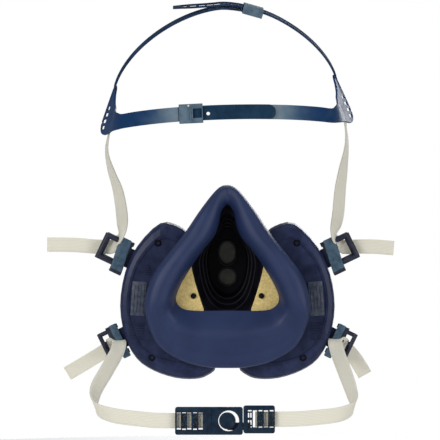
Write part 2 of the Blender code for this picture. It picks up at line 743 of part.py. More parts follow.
UPPER_TAIL = {
    "left": [
        ((-0.1317, 0.0270, 0.0266), (0.02, 0, 1)), ((-0.1130, 0.0290, 0.0264), (0, 0, 1)),
        ((-0.0975, 0.0300, 0.0252), (-0.05, 0, 1)), ((-0.0905, 0.0295, 0.0249), (-0.15, 0.05, 1)),
        ((-0.0845, 0.0275, 0.0252), (-0.35, 0.35, 0.9)), ((-0.0820, 0.0266, 0.0282), (-0.42, 0.75, 0.5)),
        ((-0.0784, 0.0227, 0.0318), (-0.25, 1, 0.25)),
    ],
    "right": [
        ((0.1216, 0.0270, 0.0240), (-0.05, 0, 1)), ((0.1090, 0.0290, 0.0250), (0, 0, 1)),
        ((0.0975, 0.0300, 0.0252), (0.05, 0, 1)), ((0.0905, 0.0295, 0.0249), (0.15, 0.05, 1)),
        ((0.0845, 0.0275, 0.0252), (0.35, 0.35, 0.9)), ((0.0820, 0.0266, 0.0282), (0.42, 0.75, 0.5)),
        ((0.0784, 0.0228, 0.0318), (0.25, 1, 0.25)),
    ],
}
UPPER_RUN = {
    "left": [
        ((-0.0778, 0.0220, 0.0335), (-0.30, 1, 0.2)), ((-0.0768, 0.0160, 0.0400), (-0.62, 0.80, 0.1)),
        ((-0.0764, 0.0050, 0.0500), (-0.70, 0.72, 0)), ((-0.0784, -0.0120, 0.0661), (-0.62, 0.78, 0)),
        ((-0.0824, -0.0280, 0.0801), (-0.40, 0.90, 0.1)), ((-0.0846, -0.0450, 0.0938), (-0.15, 1, 0.3)),
        ((-0.0822, -0.0580, 0.1070), (0.1, 1, 0.4)), ((-0.0808, -0.0595, 0.1125), (0.2, 1, 0.3)),
    ],
    "right": [
        ((0.0779, 0.0220, 0.0335), (0.30, 1, 0.2)), ((0.0790, 0.0160, 0.0400), (0.72, 0.70, 0.1)),
        ((0.0800, 0.0050, 0.0500), (0.74, 0.68, 0)), ((0.0806, -0.0120, 0.0670), (0.66, 0.75, 0)),
        ((0.0819, -0.0280, 0.0820), (0.50, 0.86, 0.1)), ((0.0833, -0.0450, 0.0990), (0.20, 1, 0.3)),
        ((0.0814, -0.0580, 0.1145), (-0.1, 1, 0.4)), ((0.0798, -0.0595, 0.1200), (-0.2, 1, 0.3)),
    ],
}
LOWER_TAIL = {
    "left": [
        ((-0.1174, 0.0340, -0.0681), (-0.48, 0, 0.88)), ((-0.1030, 0.0340, -0.0596), (-0.50, 0, 0.87)),
        ((-0.0900, 0.0330, -0.0515), (-0.52, 0, 0.85)), ((-0.0840, 0.0300, -0.0475), (-0.55, 0, 0.83)),
    ],
    "right": [
        ((0.1010, 0.0340, -0.0690), (0.80, 0, 0.60)), ((0.0950, 0.0340, -0.0590), (0.76, 0, 0.65)),
        ((0.0890, 0.0330, -0.0515), (0.70, 0, 0.71)), ((0.0840, 0.0300, -0.0475), (0.60, 0, 0.80)),
    ],
}
LOWER_RUN = {
    "left": [
        ((-0.0790, 0.0190, -0.0440), (0.95, 0.1, 0.30)), ((-0.0800, 0.0060, -0.0510), (0.88, 0.2, -0.42)),
        ((-0.0864, -0.015, -0.0630), (0.80, 0.2, -0.55)), ((-0.0934, -0.037, -0.0765), (0.62, 0.3, -0.72)),
        ((-0.0919, -0.053, -0.0868), (0.25, 0.3, -0.92)), ((-0.0800, -0.062, -0.0912), (0.18, 0.1, -0.98)),
        ((-0.0600, -0.0664, -0.0935), (0.08, 0.0, -1)), ((-0.0460, -0.0675, -0.0944), (0, 0, -1)),
        ((-0.0160, -0.0676, -0.0944), (0, 0, -1)),
    ],
    "right": [
        ((0.0786, 0.0190, -0.0430), (-0.95, 0.1, 0.30)), ((0.0796, 0.0060, -0.0510), (-0.88, 0.2, -0.42)),
        ((0.0832, -0.015, -0.0625), (-0.80, 0.2, -0.55)), ((0.0872, -0.037, -0.0755), (-0.62, 0.3, -0.72)),
        ((0.0884, -0.053, -0.0852), (-0.25, 0.3, -0.92)), ((0.0792, -0.062, -0.0902), (-0.18, 0.1, -0.98)),
        ((0.0600, -0.0664, -0.0925), (-0.08, 0.0, -1)), ((0.0430, -0.0675, -0.0934), (0, 0, -1)),
        ((0.0190, -0.0676, -0.0934), (0, 0, -1)),
    ],
}


def end_shifts(row, side):
    """How far the buckle's end and the far end of a web have moved from where the stations put them."""
    x, z, _ = BUCKLES[row]
    near = Vector((-side * x * (MASK_WIDTH - STATIONS_WIDTH) / 2, 0, z * (MASK_HEIGHT - STATIONS_HEIGHT)))
    if row == "upper":
        return near, Vector((side * (CRADLE_HALF_WIDTH - STATIONS_CRADLE), 0, 0))
    return near, Vector((0, 0, CLASP_Z - STATIONS_CLASP_Z))


def carried(stations, near, far):
    last = len(stations) - 1
    return [(Vector(spot) + near.lerp(far, i / last), width) for i, (spot, width) in enumerate(stations)]


def make_webs():
    for side_name, side in SIDES.items():
        for row, tails, runs in (("upper", UPPER_TAIL, UPPER_RUN), ("lower", LOWER_TAIL, LOWER_RUN)):
            near, far = end_shifts(row, side)
            tail = ribbon(carried(tails[side_name], near, near), WEB_WIDTH, WEB_THICKNESS, 3)
            make_object(f"{row}_strap_tail_{side_name}", tail, "elastic")
            run = ribbon(carried(runs[side_name], near, far), WEB_WIDTH, WEB_THICKNESS, 4)
            make_object(f"{row}_strap_{side_name}", run, "elastic")


# ------------------------------------------------------------ head cradle
def back_curve(side, end_x, offset):
    """Stations of a back arm from the ear round to the back of the head, in the cradle's frame."""
    start_y = -0.0140
    made = [Vector((side * ear_x(start_y, BACK_ARM_Z), start_y, BACK_ARM_Z))]
    start_x = side * (CRADLE_HALF_WIDTH - 0.0060)
    for k in range(1, ARM_STATIONS + 1):
        x = start_x + (end_x - start_x) * k / ARM_STATIONS
        made.append(Vector((x, back_y(x) + offset * min(1.0, k / 3), BACK_ARM_Z)))
    return made


def back_y(x):
    """How far behind the ears the back arms lie: flat in the middle, round towards the ears."""
    flat = 0.034
    span = CRADLE_HALF_WIDTH - 0.0020 - flat
    over = max(0.0, abs(x) - flat) / span
    return -0.0150 + (CRADLE_BACK_Y + 0.0150) * math.sqrt(max(0.0, 1.0 - over**2.2))


def crown_point(share, gain=0.0):
    """A point on the crown loop: share 0 at the left ear, 0.5 at the top, 1 at the right ear."""
    angle = math.pi * (1 - share)
    c, s = math.cos(angle), math.sin(angle)
    x = ear_x(CROWN_FOOT_Y, CROWN_FOOT_Z) * math.copysign(abs(c) ** CROWN_ROUNDNESS, c)
    rise = s**CROWN_ROUNDNESS
    z = CROWN_FOOT_Z + (CROWN_HEIGHT + gain - CROWN_FOOT_Z) * rise
    y = CROWN_FOOT_Y + (CROWN_LEAN_Y - CROWN_FOOT_Y) * rise
    return Vector((x * (1 + gain / CRADLE_HALF_WIDTH), y, z))


def crown_rise(share, gain):
    """How far outside the loop the outer arm lies: nothing at the ear, most at its loose end."""
    lift = max(0.0, CROWN_LIFT_SHARE - share) / (CROWN_LIFT_SHARE - CROWN_TAIL_SHARE)
    tip = CROWN_TIP_LIFT * lift**2 if gain else 0.0
    return gain * min(1.0, 3.0 * min(share, 1 - share)) + tip


def crown_across():
    """The crown arms' width direction, square to the loop's plane."""
    return Vector((0, CROWN_HEIGHT - CROWN_FOOT_Z, CROWN_FOOT_Y - CROWN_LEAN_Y)).normalized()


def ear_x(y, z):
    """How far out the ear's middle plane lies: it leans in towards its top and its rear edge."""
    return CRADLE_HALF_WIDTH - EAR_LEAN * z + EAR_FLARE * y


def make_ear(name, side, frame):
    """The slotted triangle at the side of the head that both arms and the elastic meet."""
    rings = [
        [(side * (ear_x(y, z) + depth), y, z) for y, z in EAR_OUTLINE]
        for depth in (-EAR_THICKNESS / 2, EAR_THICKNESS / 2)
    ]
    return make_cutter(f"{name}_ear", loft(rings), frame)


def ear_slot_cutters(name, side, frame):
    made = []
    for k in range(EAR_SLOTS):
        z = 0.0050 + 0.0062 * k
        x = side * ear_x(EAR_SLOT_Y, z)
        slot = box((0.0140, 0.0100 - 0.0014 * k, LADDER_SLOT * 0.8), (x, EAR_SLOT_Y, z))
        made.append(make_cutter(f"{name}_ear_slot_{k}", slot, frame))
    return made


def make_cradle_half(side_name, side, frame, back_end, crown_end, back_offset, crown_gain):
    name = f"cradle_{side_name}"
    stations = [(p, (0, 0, 1)) for p in back_curve(side, back_end, back_offset)]
    half = make_object(name, ribbon(stations, ARM_WIDTH, ARM_THICKNESS, 3), "cradle_plastic", frame)
    foot = 1.0 if side > 0 else 0.0
    shares = [foot + (crown_end - foot) * k / ARM_STATIONS for k in range(ARM_STATIONS + 1)]
    crown = [(crown_point(s, crown_rise(s, crown_gain)), crown_across()) for s in shares]
    join(half, make_cutter(f"{name}_crown", ribbon(crown, ARM_WIDTH, ARM_THICKNESS, 3), frame))
    join(half, make_ear(name, side, frame))
    for slot in ear_slot_cutters(name, side, frame):
        cut(half, slot)
    return half


def keeper(half, name, along, across, inner_centre, outer_low, frame, play):
    """A sleeve fused to an arm's end, hollowed for the other half's arm to slide through."""
    along = Vector(along).normalized()
    across = Vector(across).normalized()
    up = along.cross(across)
    turn = Matrix((along, up, across)).transposed()
    high = ARM_THICKNESS / 2 + play + KEEPER_WALL
    middle = inner_centre + up * (high - outer_low) / 2
    width = ARM_WIDTH + 2 * (GAP + KEEPER_WALL)
    outer = box((KEEPER_LENGTH, high + outer_low, width), middle, turn)
    join(half, make_cutter(f"{name}_sleeve", outer, frame))
    hollow = box((KEEPER_LENGTH * 1.6, ARM_THICKNESS + 2 * play, ARM_WIDTH + 2 * GAP), inner_centre, turn)
    cut(half, make_cutter(f"{name}_sleeve_hollow", hollow, frame))


def make_cradle():
    frame = empty("cradle_frame", CRADLE_ORIGIN)
    frame.rotation_euler = (0, CRADLE_ROLL, 0)
    step = ARM_THICKNESS + OVERLAP_GAP
    left = make_cradle_half("left", -1.0, frame, BACK_TAIL_X, CROWN_KEEPER_SHARE, -step, 0.0)
    right = make_cradle_half("right", 1.0, frame, BACK_KEEPER_X, CROWN_TAIL_SHARE, 0.0, CROWN_GAIN)
    inner = Vector((BACK_KEEPER_X, back_y(BACK_KEEPER_X) - step, BACK_ARM_Z))
    keeper(right, "back", (1, 0, 0), (0, 0, 1), inner, step + ARM_THICKNESS / 2, frame, GAP)
    low = crown_point(CROWN_KEEPER_SHARE - 0.01, CROWN_GAIN)
    high = crown_point(CROWN_KEEPER_SHARE + 0.01, CROWN_GAIN)
    centre = crown_point(CROWN_KEEPER_SHARE, CROWN_GAIN)
    outer_low = CROWN_GAIN + ARM_THICKNESS / 2
    keeper(left, "crown", low - high, crown_across(), centre, outer_low, frame, KEEPER_PLAY)


# ------------------------------------------------------------ neck clasp
def ladder_slots(plate, name, places, z):
    for k, x in enumerate(places):
        slot = box((LADDER_SLOT, 4 * CLASP_THICKNESS, LADDER_HEIGHT), (x, CLASP_Y, z))
        cut(plate, make_cutter(f"{name}_ladder_{k}", slot))


def clasp_plate(name, ends, z):
    size = (ends[1] - ends[0], CLASP_THICKNESS, CLASP_HEIGHT)
    return make_object(name, box(size, ((ends[0] + ends[1]) / 2, CLASP_Y, z)), "buckle_plastic")


def make_ring_plate():
    ring = clasp_plate("clasp_ring_plate", RING_PLATE_ENDS, CLASP_Z)
    hole = rod(RING_RADIUS, 4 * CLASP_THICKNESS, (RING_X, CLASP_Y, CLASP_Z), (0, 1, 0), 28)
    cut(ring, make_cutter("clasp_ring_hole", hole))
    ladder_slots(ring, "ring", RING_LADDER_X, CLASP_Z)


def make_hook_plate():
    """A plate like the ring's, with a tongue behind the ring plate that carries a disc into the ring."""
    high_z = CLASP_Z + HOOK_RISE
    hook = clasp_plate("clasp_hook_plate", HOOK_PLATE_ENDS, high_z)
    lift = CLASP_THICKNESS + HOOK_CLEARANCE
    tongue_z = CLASP_Z - TONGUE_DROP
    far_x = HOOK_PLATE_ENDS[0] + HOOK_STEP
    size = (far_x - DISC_X, CLASP_THICKNESS, TONGUE_HEIGHT)
    tongue = box(size, ((DISC_X + far_x) / 2, CLASP_Y + lift, tongue_z))
    step_middle = (far_x - HOOK_STEP / 2, CLASP_Y + lift / 2, tongue_z)
    step = box((HOOK_STEP - 2 * GAP, lift, TONGUE_HEIGHT - GAP), step_middle)
    disc_middle = (DISC_X, CLASP_Y + lift / 2 - CLASP_THICKNESS / 4, CLASP_Z)
    disc = rod(DISC_RADIUS, lift + CLASP_THICKNESS / 2, disc_middle, (0, 1, 0), 28)
    for part, mesh in (("tongue", tongue), ("step", step), ("disc", disc)):
        join(hook, make_cutter(f"clasp_{part}", mesh))
    ladder_slots(hook, "hook", HOOK_LADDER_X, high_z)


def build():
    clear_scene()
    make_face_seal()
    make_breathing_cup()
    make_inhalation_valves()
    for side_name, side in SIDES.items():
        make_filter_housing(side_name, side)
        make_filter_insides(side_name, side)
        make_filter_cover(side_name, side)
    make_exhalation_valve()
    make_exhalation_cover()
    make_buckles()
    make_webs()
    make_cradle()
    make_ring_plate()
    make_hook_plate()


build()
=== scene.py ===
# %% [markdown]
# # A painter's half-mask respirator
# The mask is seen from the wearer's side: a soft navy face seal, the dark breathing duct with its
# valves, a filter housing on each cheek, four buckles with cream elastic, a translucent cradle for
# the back and the crown of the head, and a clasp for the neck.
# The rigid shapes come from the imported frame. This lesson adds the soft pieces, the small details
# and every finish, and each new piece rides on the body that it belongs to.

# %% Load the frame and remember its box
import math

import bmesh
import bpy
from mathutils import Matrix, Vector


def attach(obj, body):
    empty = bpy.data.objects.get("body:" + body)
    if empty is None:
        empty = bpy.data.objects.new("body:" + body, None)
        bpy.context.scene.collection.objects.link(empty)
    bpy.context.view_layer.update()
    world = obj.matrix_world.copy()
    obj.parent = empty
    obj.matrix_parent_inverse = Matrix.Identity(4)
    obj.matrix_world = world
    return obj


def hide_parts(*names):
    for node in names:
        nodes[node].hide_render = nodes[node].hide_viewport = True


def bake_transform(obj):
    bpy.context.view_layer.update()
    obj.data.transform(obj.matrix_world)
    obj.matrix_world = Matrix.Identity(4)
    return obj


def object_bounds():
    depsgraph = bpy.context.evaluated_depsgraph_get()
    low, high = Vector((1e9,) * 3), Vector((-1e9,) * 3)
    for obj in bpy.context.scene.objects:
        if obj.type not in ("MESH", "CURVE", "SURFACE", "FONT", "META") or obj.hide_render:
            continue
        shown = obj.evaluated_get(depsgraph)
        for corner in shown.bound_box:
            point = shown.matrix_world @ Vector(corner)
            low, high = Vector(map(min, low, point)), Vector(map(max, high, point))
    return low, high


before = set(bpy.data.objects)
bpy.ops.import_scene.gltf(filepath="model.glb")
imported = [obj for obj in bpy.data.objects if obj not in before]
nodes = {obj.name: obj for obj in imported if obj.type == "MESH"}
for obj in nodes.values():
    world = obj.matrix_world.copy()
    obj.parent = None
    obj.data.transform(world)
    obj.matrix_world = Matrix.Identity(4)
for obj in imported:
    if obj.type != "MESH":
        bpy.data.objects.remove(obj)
cad_low, cad_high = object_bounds()
print("frame box in mm:", [round(1000 * v) for v in cad_high - cad_low])

# %% [markdown]
# ## The camera
# A long lens a good way back keeps the cradle, which is behind the mask, from looking much smaller
# than it is. It stands level with the nose and looks straight along +Y, into the mask.

# %% Camera
camera_data = bpy.data.cameras.new("camera")
camera_data.sensor_width = 36.0
camera_data.lens = 204.5
camera = bpy.data.objects.new("camera", camera_data)
camera.location = (-0.0054, -1.8, 0.0446)
camera.rotation_euler = (math.radians(90), 0, 0)
bpy.context.scene.collection.objects.link(camera)
bpy.context.scene.camera = camera

# %% [markdown]
# ## A plain floor, a white room and soft lamps
# The pieces are dark and slightly glossy, so the room that lights them is dimmer than the white
# that the camera sees behind them: a bright room would lay a milky reflection on the navy rubber.
# Large square lamps give the broad soft highlights of a product table.

# %% World, floor and lamps
world = bpy.data.worlds.new("studio")
bpy.context.scene.world = world
world.use_nodes = True
room = world.node_tree
room_seen = room.nodes.new("ShaderNodeLightPath")
room_white = room.nodes.new("ShaderNodeBackground")
room_white.inputs["Color"].default_value = (1.0, 1.0, 1.0, 1.0)
room_dim = room.nodes["Background"]
room_dim.inputs["Color"].default_value = (0.92, 0.95, 1.0, 1.0)
room_dim.inputs["Strength"].default_value = 0.30
room_mix = room.nodes.new("ShaderNodeMixShader")
room.links.new(room_seen.outputs["Is Camera Ray"], room_mix.inputs["Fac"])
room.links.new(room_dim.outputs[0], room_mix.inputs[1])
room.links.new(room_white.outputs[0], room_mix.inputs[2])
room.links.new(room_mix.outputs[0], room.nodes["World Output"].inputs["Surface"])
bpy.context.scene.view_settings.view_transform = "Standard"


def add_lamp(name, place, aim, size, power):
    """A square softbox that faces a point."""
    lamp = bpy.data.lights.new(name, "AREA")
    lamp.size = size
    lamp.energy = power
    thing = bpy.data.objects.new(name, lamp)
    thing.location = place
    thing.rotation_euler = (Vector(aim) - Vector(place)).to_track_quat("-Z", "Y").to_euler()
    bpy.context.scene.collection.objects.link(thing)


add_lamp("key", (-1.1, -1.5, 0.55), (0, 0, 0.03), 0.9, 19)
add_lamp("fill", (1.3, -1.2, 0.2), (0, 0, 0.03), 1.0, 11)
add_lamp("top", (0.0, 0.3, 1.7), (0, 0, 0), 1.2, 8)
add_lamp("front_side", (0.5, 1.6, 0.6), (0, 0, 0.03), 1.0, 18)


def add_floor(radius, height):
    """A wide pale disc just below the clasp."""
    mesh = bmesh.new()
    rings = [[mesh.verts.new((r * math.cos(a), r * math.sin(a), height))
              for a in (2 * math.pi * k / 64 for k in range(64))] for r in (radius * 0.5, radius)]
    mesh.faces.new(rings[0])
    for k in range(64):
        j = (k + 1) % 64
        mesh.faces.new((rings[0][k], rings[1][k], rings[1][j], rings[0][j]))
    data = bpy.data.meshes.new("floor")
    mesh.to_mesh(data)
    mesh.free()
    floor = bpy.data.objects.new("floor", data)
    bpy.context.scene.collection.objects.link(floor)
    return floor


floor = add_floor(0.56, cad_low.z - 0.055)

# %% [markdown]
# ## Two small tools for finishes
# Every finish starts from one shader. `new_finish` makes it and sets what is the same all over.
# `noise_at` adds a fine noise in real millimetres, which drives a little relief and a little colour.

# %% Finishes
def new_finish(name, colour, roughness, **more):
    """A material whose even values sit on the shader itself."""
    made = bpy.data.materials.new(name)
    made.use_nodes = True
    shader = made.node_tree.nodes["Principled BSDF"]
    shader.inputs["Base Color"].default_value = (*colour, 1.0)
    shader.inputs["Roughness"].default_value = roughness
    for socket, value in more.items():
        shader.inputs[socket.replace("_", " ")].default_value = value
    return made


def add_node(finish, kind):
    return finish.node_tree.nodes.new(kind)


def link(finish, start, end):
    finish.node_tree.links.new(start, end)


def shader_of(finish):
    return finish.node_tree.nodes["Principled BSDF"]


def noise_at(finish, millimetres, detail=3.0, stretch=(1, 1, 1)):
    """Noise whose cells are about that many millimetres across, with its own place on the piece."""
    place = add_node(finish, "ShaderNodeTexCoord")
    turn = add_node(finish, "ShaderNodeMapping")
    turn.inputs["Scale"].default_value = stretch
    link(finish, place.outputs["Object"], turn.inputs["Vector"])
    noise = add_node(finish, "ShaderNodeTexNoise")
    noise.inputs["Scale"].default_value = 1000.0 / millimetres
    noise.inputs["Detail"].default_value = detail
    link(finish, turn.outputs["Vector"], noise.inputs["Vector"])
    return noise.outputs["Fac"]


def relief(finish, height, depth_mm, strength=0.5):
    bump = add_node(finish, "ShaderNodeBump")
    bump.inputs["Strength"].default_value = strength
    bump.inputs["Distance"].default_value = depth_mm / 1000.0
    link(finish, height, bump.inputs["Height"])
    link(finish, bump.outputs["Normal"], shader_of(finish).inputs["Normal"])


def two_tone(finish, value, low, high, low_at=0.35, high_at=0.65):
    """The base colour runs from one tone to another as a value rises."""
    ramp = add_node(finish, "ShaderNodeValToRGB")
    ramp.color_ramp.elements[0].position = low_at
    ramp.color_ramp.elements[0].color = (*low, 1.0)
    ramp.color_ramp.elements[1].position = high_at
    ramp.color_ramp.elements[1].color = (*high, 1.0)
    link(finish, value, ramp.inputs["Fac"])
    link(finish, ramp.outputs["Color"], shader_of(finish).inputs["Base Color"])


def uneven_gloss(finish, value, low, high):
    spread = add_node(finish, "ShaderNodeMapRange")
    spread.inputs["To Min"].default_value = low
    spread.inputs["To Max"].default_value = high
    link(finish, value, spread.inputs["Value"])
    link(finish, spread.outputs["Result"], shader_of(finish).inputs["Roughness"])


def moulded(name, low, high, gloss, grain_mm=0.5, grain_depth=0.02, cloud_mm=14.0, **more):
    """Moulded plastic or rubber: slow clouds in the tone, fine spark-eroded grain in the relief."""
    made = new_finish(name, high, gloss[0], **more)
    clouds = noise_at(made, cloud_mm, 2.0)
    two_tone(made, clouds, low, high)
    uneven_gloss(made, clouds, *gloss)
    relief(made, noise_at(made, grain_mm), grain_depth)
    return made


pale_floor = moulded("pale_floor", (0.86, 0.86, 0.86), (0.90, 0.90, 0.90), (0.6, 0.7), 20.0, 0.05, 200.0)
floor.data.materials.append(pale_floor)

# %% [markdown]
# ### The moulded finishes
# The seal is a satin elastomer with a blue body. The housings are a harder, darker navy plastic with
# faint flow marks. The duct is almost black, which makes the ports and the yellow valves stand out.

# %% Moulded finishes
seal_rubber = moulded(
    "seal_rubber", (0.0132, 0.0252, 0.0790), (0.0175, 0.0315, 0.0940), (0.46, 0.54), 0.35, 0.010, 22.0,
    Specular_IOR_Level=0.30,
)
housing_plastic = moulded(
    "housing_plastic", (0.0092, 0.0150, 0.0490), (0.0190, 0.0275, 0.0760), (0.34, 0.46), 0.30, 0.008, 7.0,
    Specular_IOR_Level=0.22,
)
# The satin patch is a real smoother area; its light grey-blue tone is painted sheen.
housing_patch_painted_sheen = moulded(
    "housing_patch_painted_sheen", (0.0300, 0.0400, 0.0700), (0.0800, 0.0950, 0.1300), (0.40, 0.52), 0.40, 0.030, 3.0,
    Specular_IOR_Level=0.30,
)
frame_plastic = moulded(
    "frame_plastic", (0.0022, 0.0022, 0.0040), (0.0045, 0.0045, 0.0080), (0.46, 0.56), 0.40, 0.012, 10.0,
    Specular_IOR_Level=0.10,
)
port_plastic = moulded(
    "port_plastic", (0.0100, 0.0100, 0.0120), (0.0200, 0.0200, 0.0220), (0.36, 0.46), 0.30, 0.010, 5.0,
    Specular_IOR_Level=0.30,
)
# The cap's light teal is painted sheen on the buckle plastic.
buckle_plastic = moulded(
    "buckle_plastic", (0.0300, 0.0640, 0.1050), (0.0560, 0.1050, 0.1500), (0.36, 0.46), 0.30, 0.020, 4.0,
    Specular_IOR_Level=0.35,
)
# The loop's dark tone is painted shade on the same buckle plastic.
buckle_painted_shade = moulded(
    "buckle_painted_shade", (0.0100, 0.0120, 0.0260), (0.0190, 0.0230, 0.0460), (0.36, 0.46), 0.30, 0.015, 4.0,
    Specular_IOR_Level=0.30,
)
clasp_plastic = moulded(
    "clasp_plastic", (0.0025, 0.0110, 0.0260), (0.0050, 0.0210, 0.0440), (0.30, 0.40), 0.30, 0.006, 4.0,
    Specular_IOR_Level=0.22,
)
diaphragm = moulded(
    "diaphragm", (0.0650, 0.0620, 0.0470), (0.0950, 0.0910, 0.0700), (0.45, 0.60), 0.5, 0.02, 5.0
)

# %% [markdown]
# ### Yellow valve rubber
# The thin inhalation flaps are a matt yellow silicone dusted with talc, so the tone is mottled in
# patches of about a millimetre, and a finer speckle sits on top.

# %% Valve rubber
valve_rubber = new_finish("valve_rubber", (0.66, 0.48, 0.16), 0.55)
two_tone(valve_rubber, noise_at(valve_rubber, 1.6, 6.0), (0.62, 0.45, 0.14), (0.82, 0.64, 0.27), 0.32, 0.68)
relief(valve_rubber, noise_at(valve_rubber, 0.5, 4.0), 0.05, 0.6)

# %% [markdown]
# ### Felt and carbon
# Behind the slots of the front covers lies a pad of pleatless felt, and behind that a bed of black
# granules. Felt is many crossed fibres, so its noise is stretched two ways; carbon is cells.

# %% Felt and carbon
filter_felt = new_finish("filter_felt", (0.70, 0.67, 0.60), 0.95, Sheen_Weight=0.3)
felt_tufts = noise_at(filter_felt, 0.7, 8.0, (1, 0.3, 0.3))
two_tone(filter_felt, felt_tufts, (0.60, 0.57, 0.50), (0.80, 0.77, 0.70))
relief(filter_felt, noise_at(filter_felt, 0.4, 8.0, (0.3, 1, 1)), 0.15, 0.7)

carbon_grains = new_finish("carbon_grains", (0.010, 0.010, 0.011), 0.55)
grain_place = add_node(carbon_grains, "ShaderNodeTexCoord")
grain_cells = add_node(carbon_grains, "ShaderNodeTexVoronoi")
grain_cells.inputs["Scale"].default_value = 900.0
link(carbon_grains, grain_place.outputs["Object"], grain_cells.inputs["Vector"])
grain_heart = grain_cells.outputs["Distance"]
two_tone(carbon_grains, grain_heart, (0.022, 0.022, 0.024), (0.004, 0.004, 0.004), 0.1, 0.6)
relief(carbon_grains, grain_heart, 0.3, 0.8)

# %% [markdown]
# ### Elastic webbing
# The strap is knitted: rubber cords run along it, and cream yarn wraps round them in small steps.
# The pieces carry a flat map in metres, across and along the strap, so cords and yarn keep their
# real size round every bend.

# %% Webbing
CORD_PITCH = 0.00105
YARN_PITCH = 0.00090


def math_node(finish, operation, first, second=None):
    node = add_node(finish, "ShaderNodeMath")
    node.operation = operation
    for socket, value in zip(node.inputs, (first, second)):
        if value is None:
            continue
        if isinstance(value, (int, float)):
            socket.default_value = value
        else:
            link(finish, value, socket)
    return node.outputs[0]


def humps(finish, turns):
    """A value that rises from 0 to 1 and falls back once in every turn."""
    angle = math_node(finish, "MULTIPLY", turns, math.pi)
    return math_node(finish, "ABSOLUTE", math_node(finish, "SINE", angle))


webbing = new_finish("webbing", (0.72, 0.69, 0.59), 0.85, Sheen_Weight=0.25, Sheen_Roughness=0.5)
strap_map = add_node(webbing, "ShaderNodeUVMap")
strap_axes = add_node(webbing, "ShaderNodeSeparateXYZ")
link(webbing, strap_map.outputs["UV"], strap_axes.inputs["Vector"])
cord_turns = math_node(webbing, "MULTIPLY", strap_axes.outputs["X"], 1.0 / CORD_PITCH)
cord_number = math_node(webbing, "FLOOR", cord_turns)
cord_round = humps(webbing, cord_turns)
half_step = math_node(webbing, "MULTIPLY", cord_number, 0.5)
yarn_along = math_node(webbing, "MULTIPLY", strap_axes.outputs["Y"], 1.0 / YARN_PITCH)
yarn_round = humps(webbing, math_node(webbing, "ADD", yarn_along, half_step))
yarn_share = math_node(webbing, "ADD", math_node(webbing, "MULTIPLY", yarn_round, 0.5), 0.5)
knit = math_node(webbing, "MULTIPLY", cord_round, yarn_share)
fuzz = math_node(webbing, "MULTIPLY", noise_at(webbing, 0.3), 0.35)
knit_fuzzy = math_node(webbing, "ADD", knit, fuzz)
two_tone(webbing, knit_fuzzy, (0.590, 0.565, 0.450), (0.755, 0.725, 0.610), 0.05, 0.75)
relief(webbing, knit_fuzzy, 0.07, 0.6)

# %% [markdown]
# ### Translucent cradle plastic
# The cradle is a thin flexible blue plastic that lets light through, so one layer looks pale and two
# layers look dark. Each surface hides a share of what is behind it; the arms are thicker towards the
# ears, so that share grows along X.

# %% Cradle plastic
def translucent(name, pale, deep, thin_cover, thick_cover, from_x, to_x):
    """Tinted plastic that lets more light through in the middle, where the arms are thin."""
    made = new_finish(name, deep, 0.50, Specular_IOR_Level=0.10)
    place = add_node(made, "ShaderNodeTexCoord")
    axes = add_node(made, "ShaderNodeSeparateXYZ")
    link(made, place.outputs["Object"], axes.inputs["Vector"])
    outwards = math_node(made, "ABSOLUTE", axes.outputs["X"])
    spread = add_node(made, "ShaderNodeMapRange")
    spread.interpolation_type = "SMOOTHSTEP"
    spread.inputs["From Min"].default_value = from_x
    spread.inputs["From Max"].default_value = to_x
    link(made, outwards, spread.inputs["Value"])
    centred = math_node(made, "SUBTRACT", noise_at(made, 9.0, 2.0), 0.5)
    clouds = math_node(made, "MULTIPLY", centred, 0.5)
    thickness = math_node(made, "ADD", spread.outputs["Result"], clouds)
    two_tone(made, thickness, pale, deep, 0.0, 1.0)
    cover = add_node(made, "ShaderNodeMapRange")
    cover.inputs["To Min"].default_value = thin_cover
    cover.inputs["To Max"].default_value = thick_cover
    link(made, thickness, cover.inputs["Value"])
    link(made, cover.outputs["Result"], shader_of(made).inputs["Alpha"])
    return made


cradle_plastic = translucent(
    "cradle_plastic", (0.085, 0.160, 0.225), (0.006, 0.036, 0.112), 0.70, 0.98, 0.030, 0.060
)
tail_plastic = moulded(
    "tail_plastic", (0.0045, 0.0250, 0.0560), (0.0085, 0.0360, 0.0780), (0.42, 0.52), 0.40, 0.010, 6.0,
    Specular_IOR_Level=0.15,
)
crown_plastic = moulded(
    "crown_plastic", (0.0110, 0.0260, 0.0620), (0.0260, 0.0480, 0.0960), (0.66, 0.76), 0.40, 0.004, 12.0,
    Specular_IOR_Level=0.02,
)
keeper_plastic = moulded(
    "keeper_plastic", (0.0650, 0.1050, 0.1500), (0.1150, 0.1700, 0.2200), (0.62, 0.72), 0.40, 0.006, 5.0,
    Specular_IOR_Level=0.04,
)

# %% [markdown]
# ## Carrying the frame's own pieces over
# Housings, covers, duct and valve parts have the right shape already. They get their finish, and the
# four buckles also get a weld with a small bevel, because a moulded edge is never knife sharp and a
# rounded one catches light.

# %% Finish the pieces of the frame
FRAME_FINISHES = {
    "breathing_cup": frame_plastic, "exhalation_flap_bar": frame_plastic,
    "exhalation_cover": housing_plastic, "exhalation_flap": diaphragm,
}
PAIR_FINISHES = {
    "filter_screen": frame_plastic, "inhalation_pin": frame_plastic, "filter_housing": housing_plastic,
    "filter_cover": housing_plastic, "inhalation_flap": valve_rubber, "carbon_bed": carbon_grains,
    # The buckle pieces take the painted-shade tone of the buckle plastic.
    "particle_filter": filter_felt, "upper_buckle": buckle_painted_shade, "lower_buckle": buckle_painted_shade,
}
for side in ("left", "right"):
    for pair, finish in PAIR_FINISHES.items():
        FRAME_FINISHES[f"{pair}_{side}"] = finish


def soften(thing, width):
    """Joins the split corners of an imported mesh and rounds its edges."""
    weld = thing.modifiers.new("weld", "WELD")
    weld.merge_threshold = 0.00001
    rounding = thing.modifiers.new("rounding", "BEVEL")
    rounding.width = width
    rounding.segments = 2
    rounding.limit_method = "ANGLE"
    rounding.angle_limit = math.radians(38)


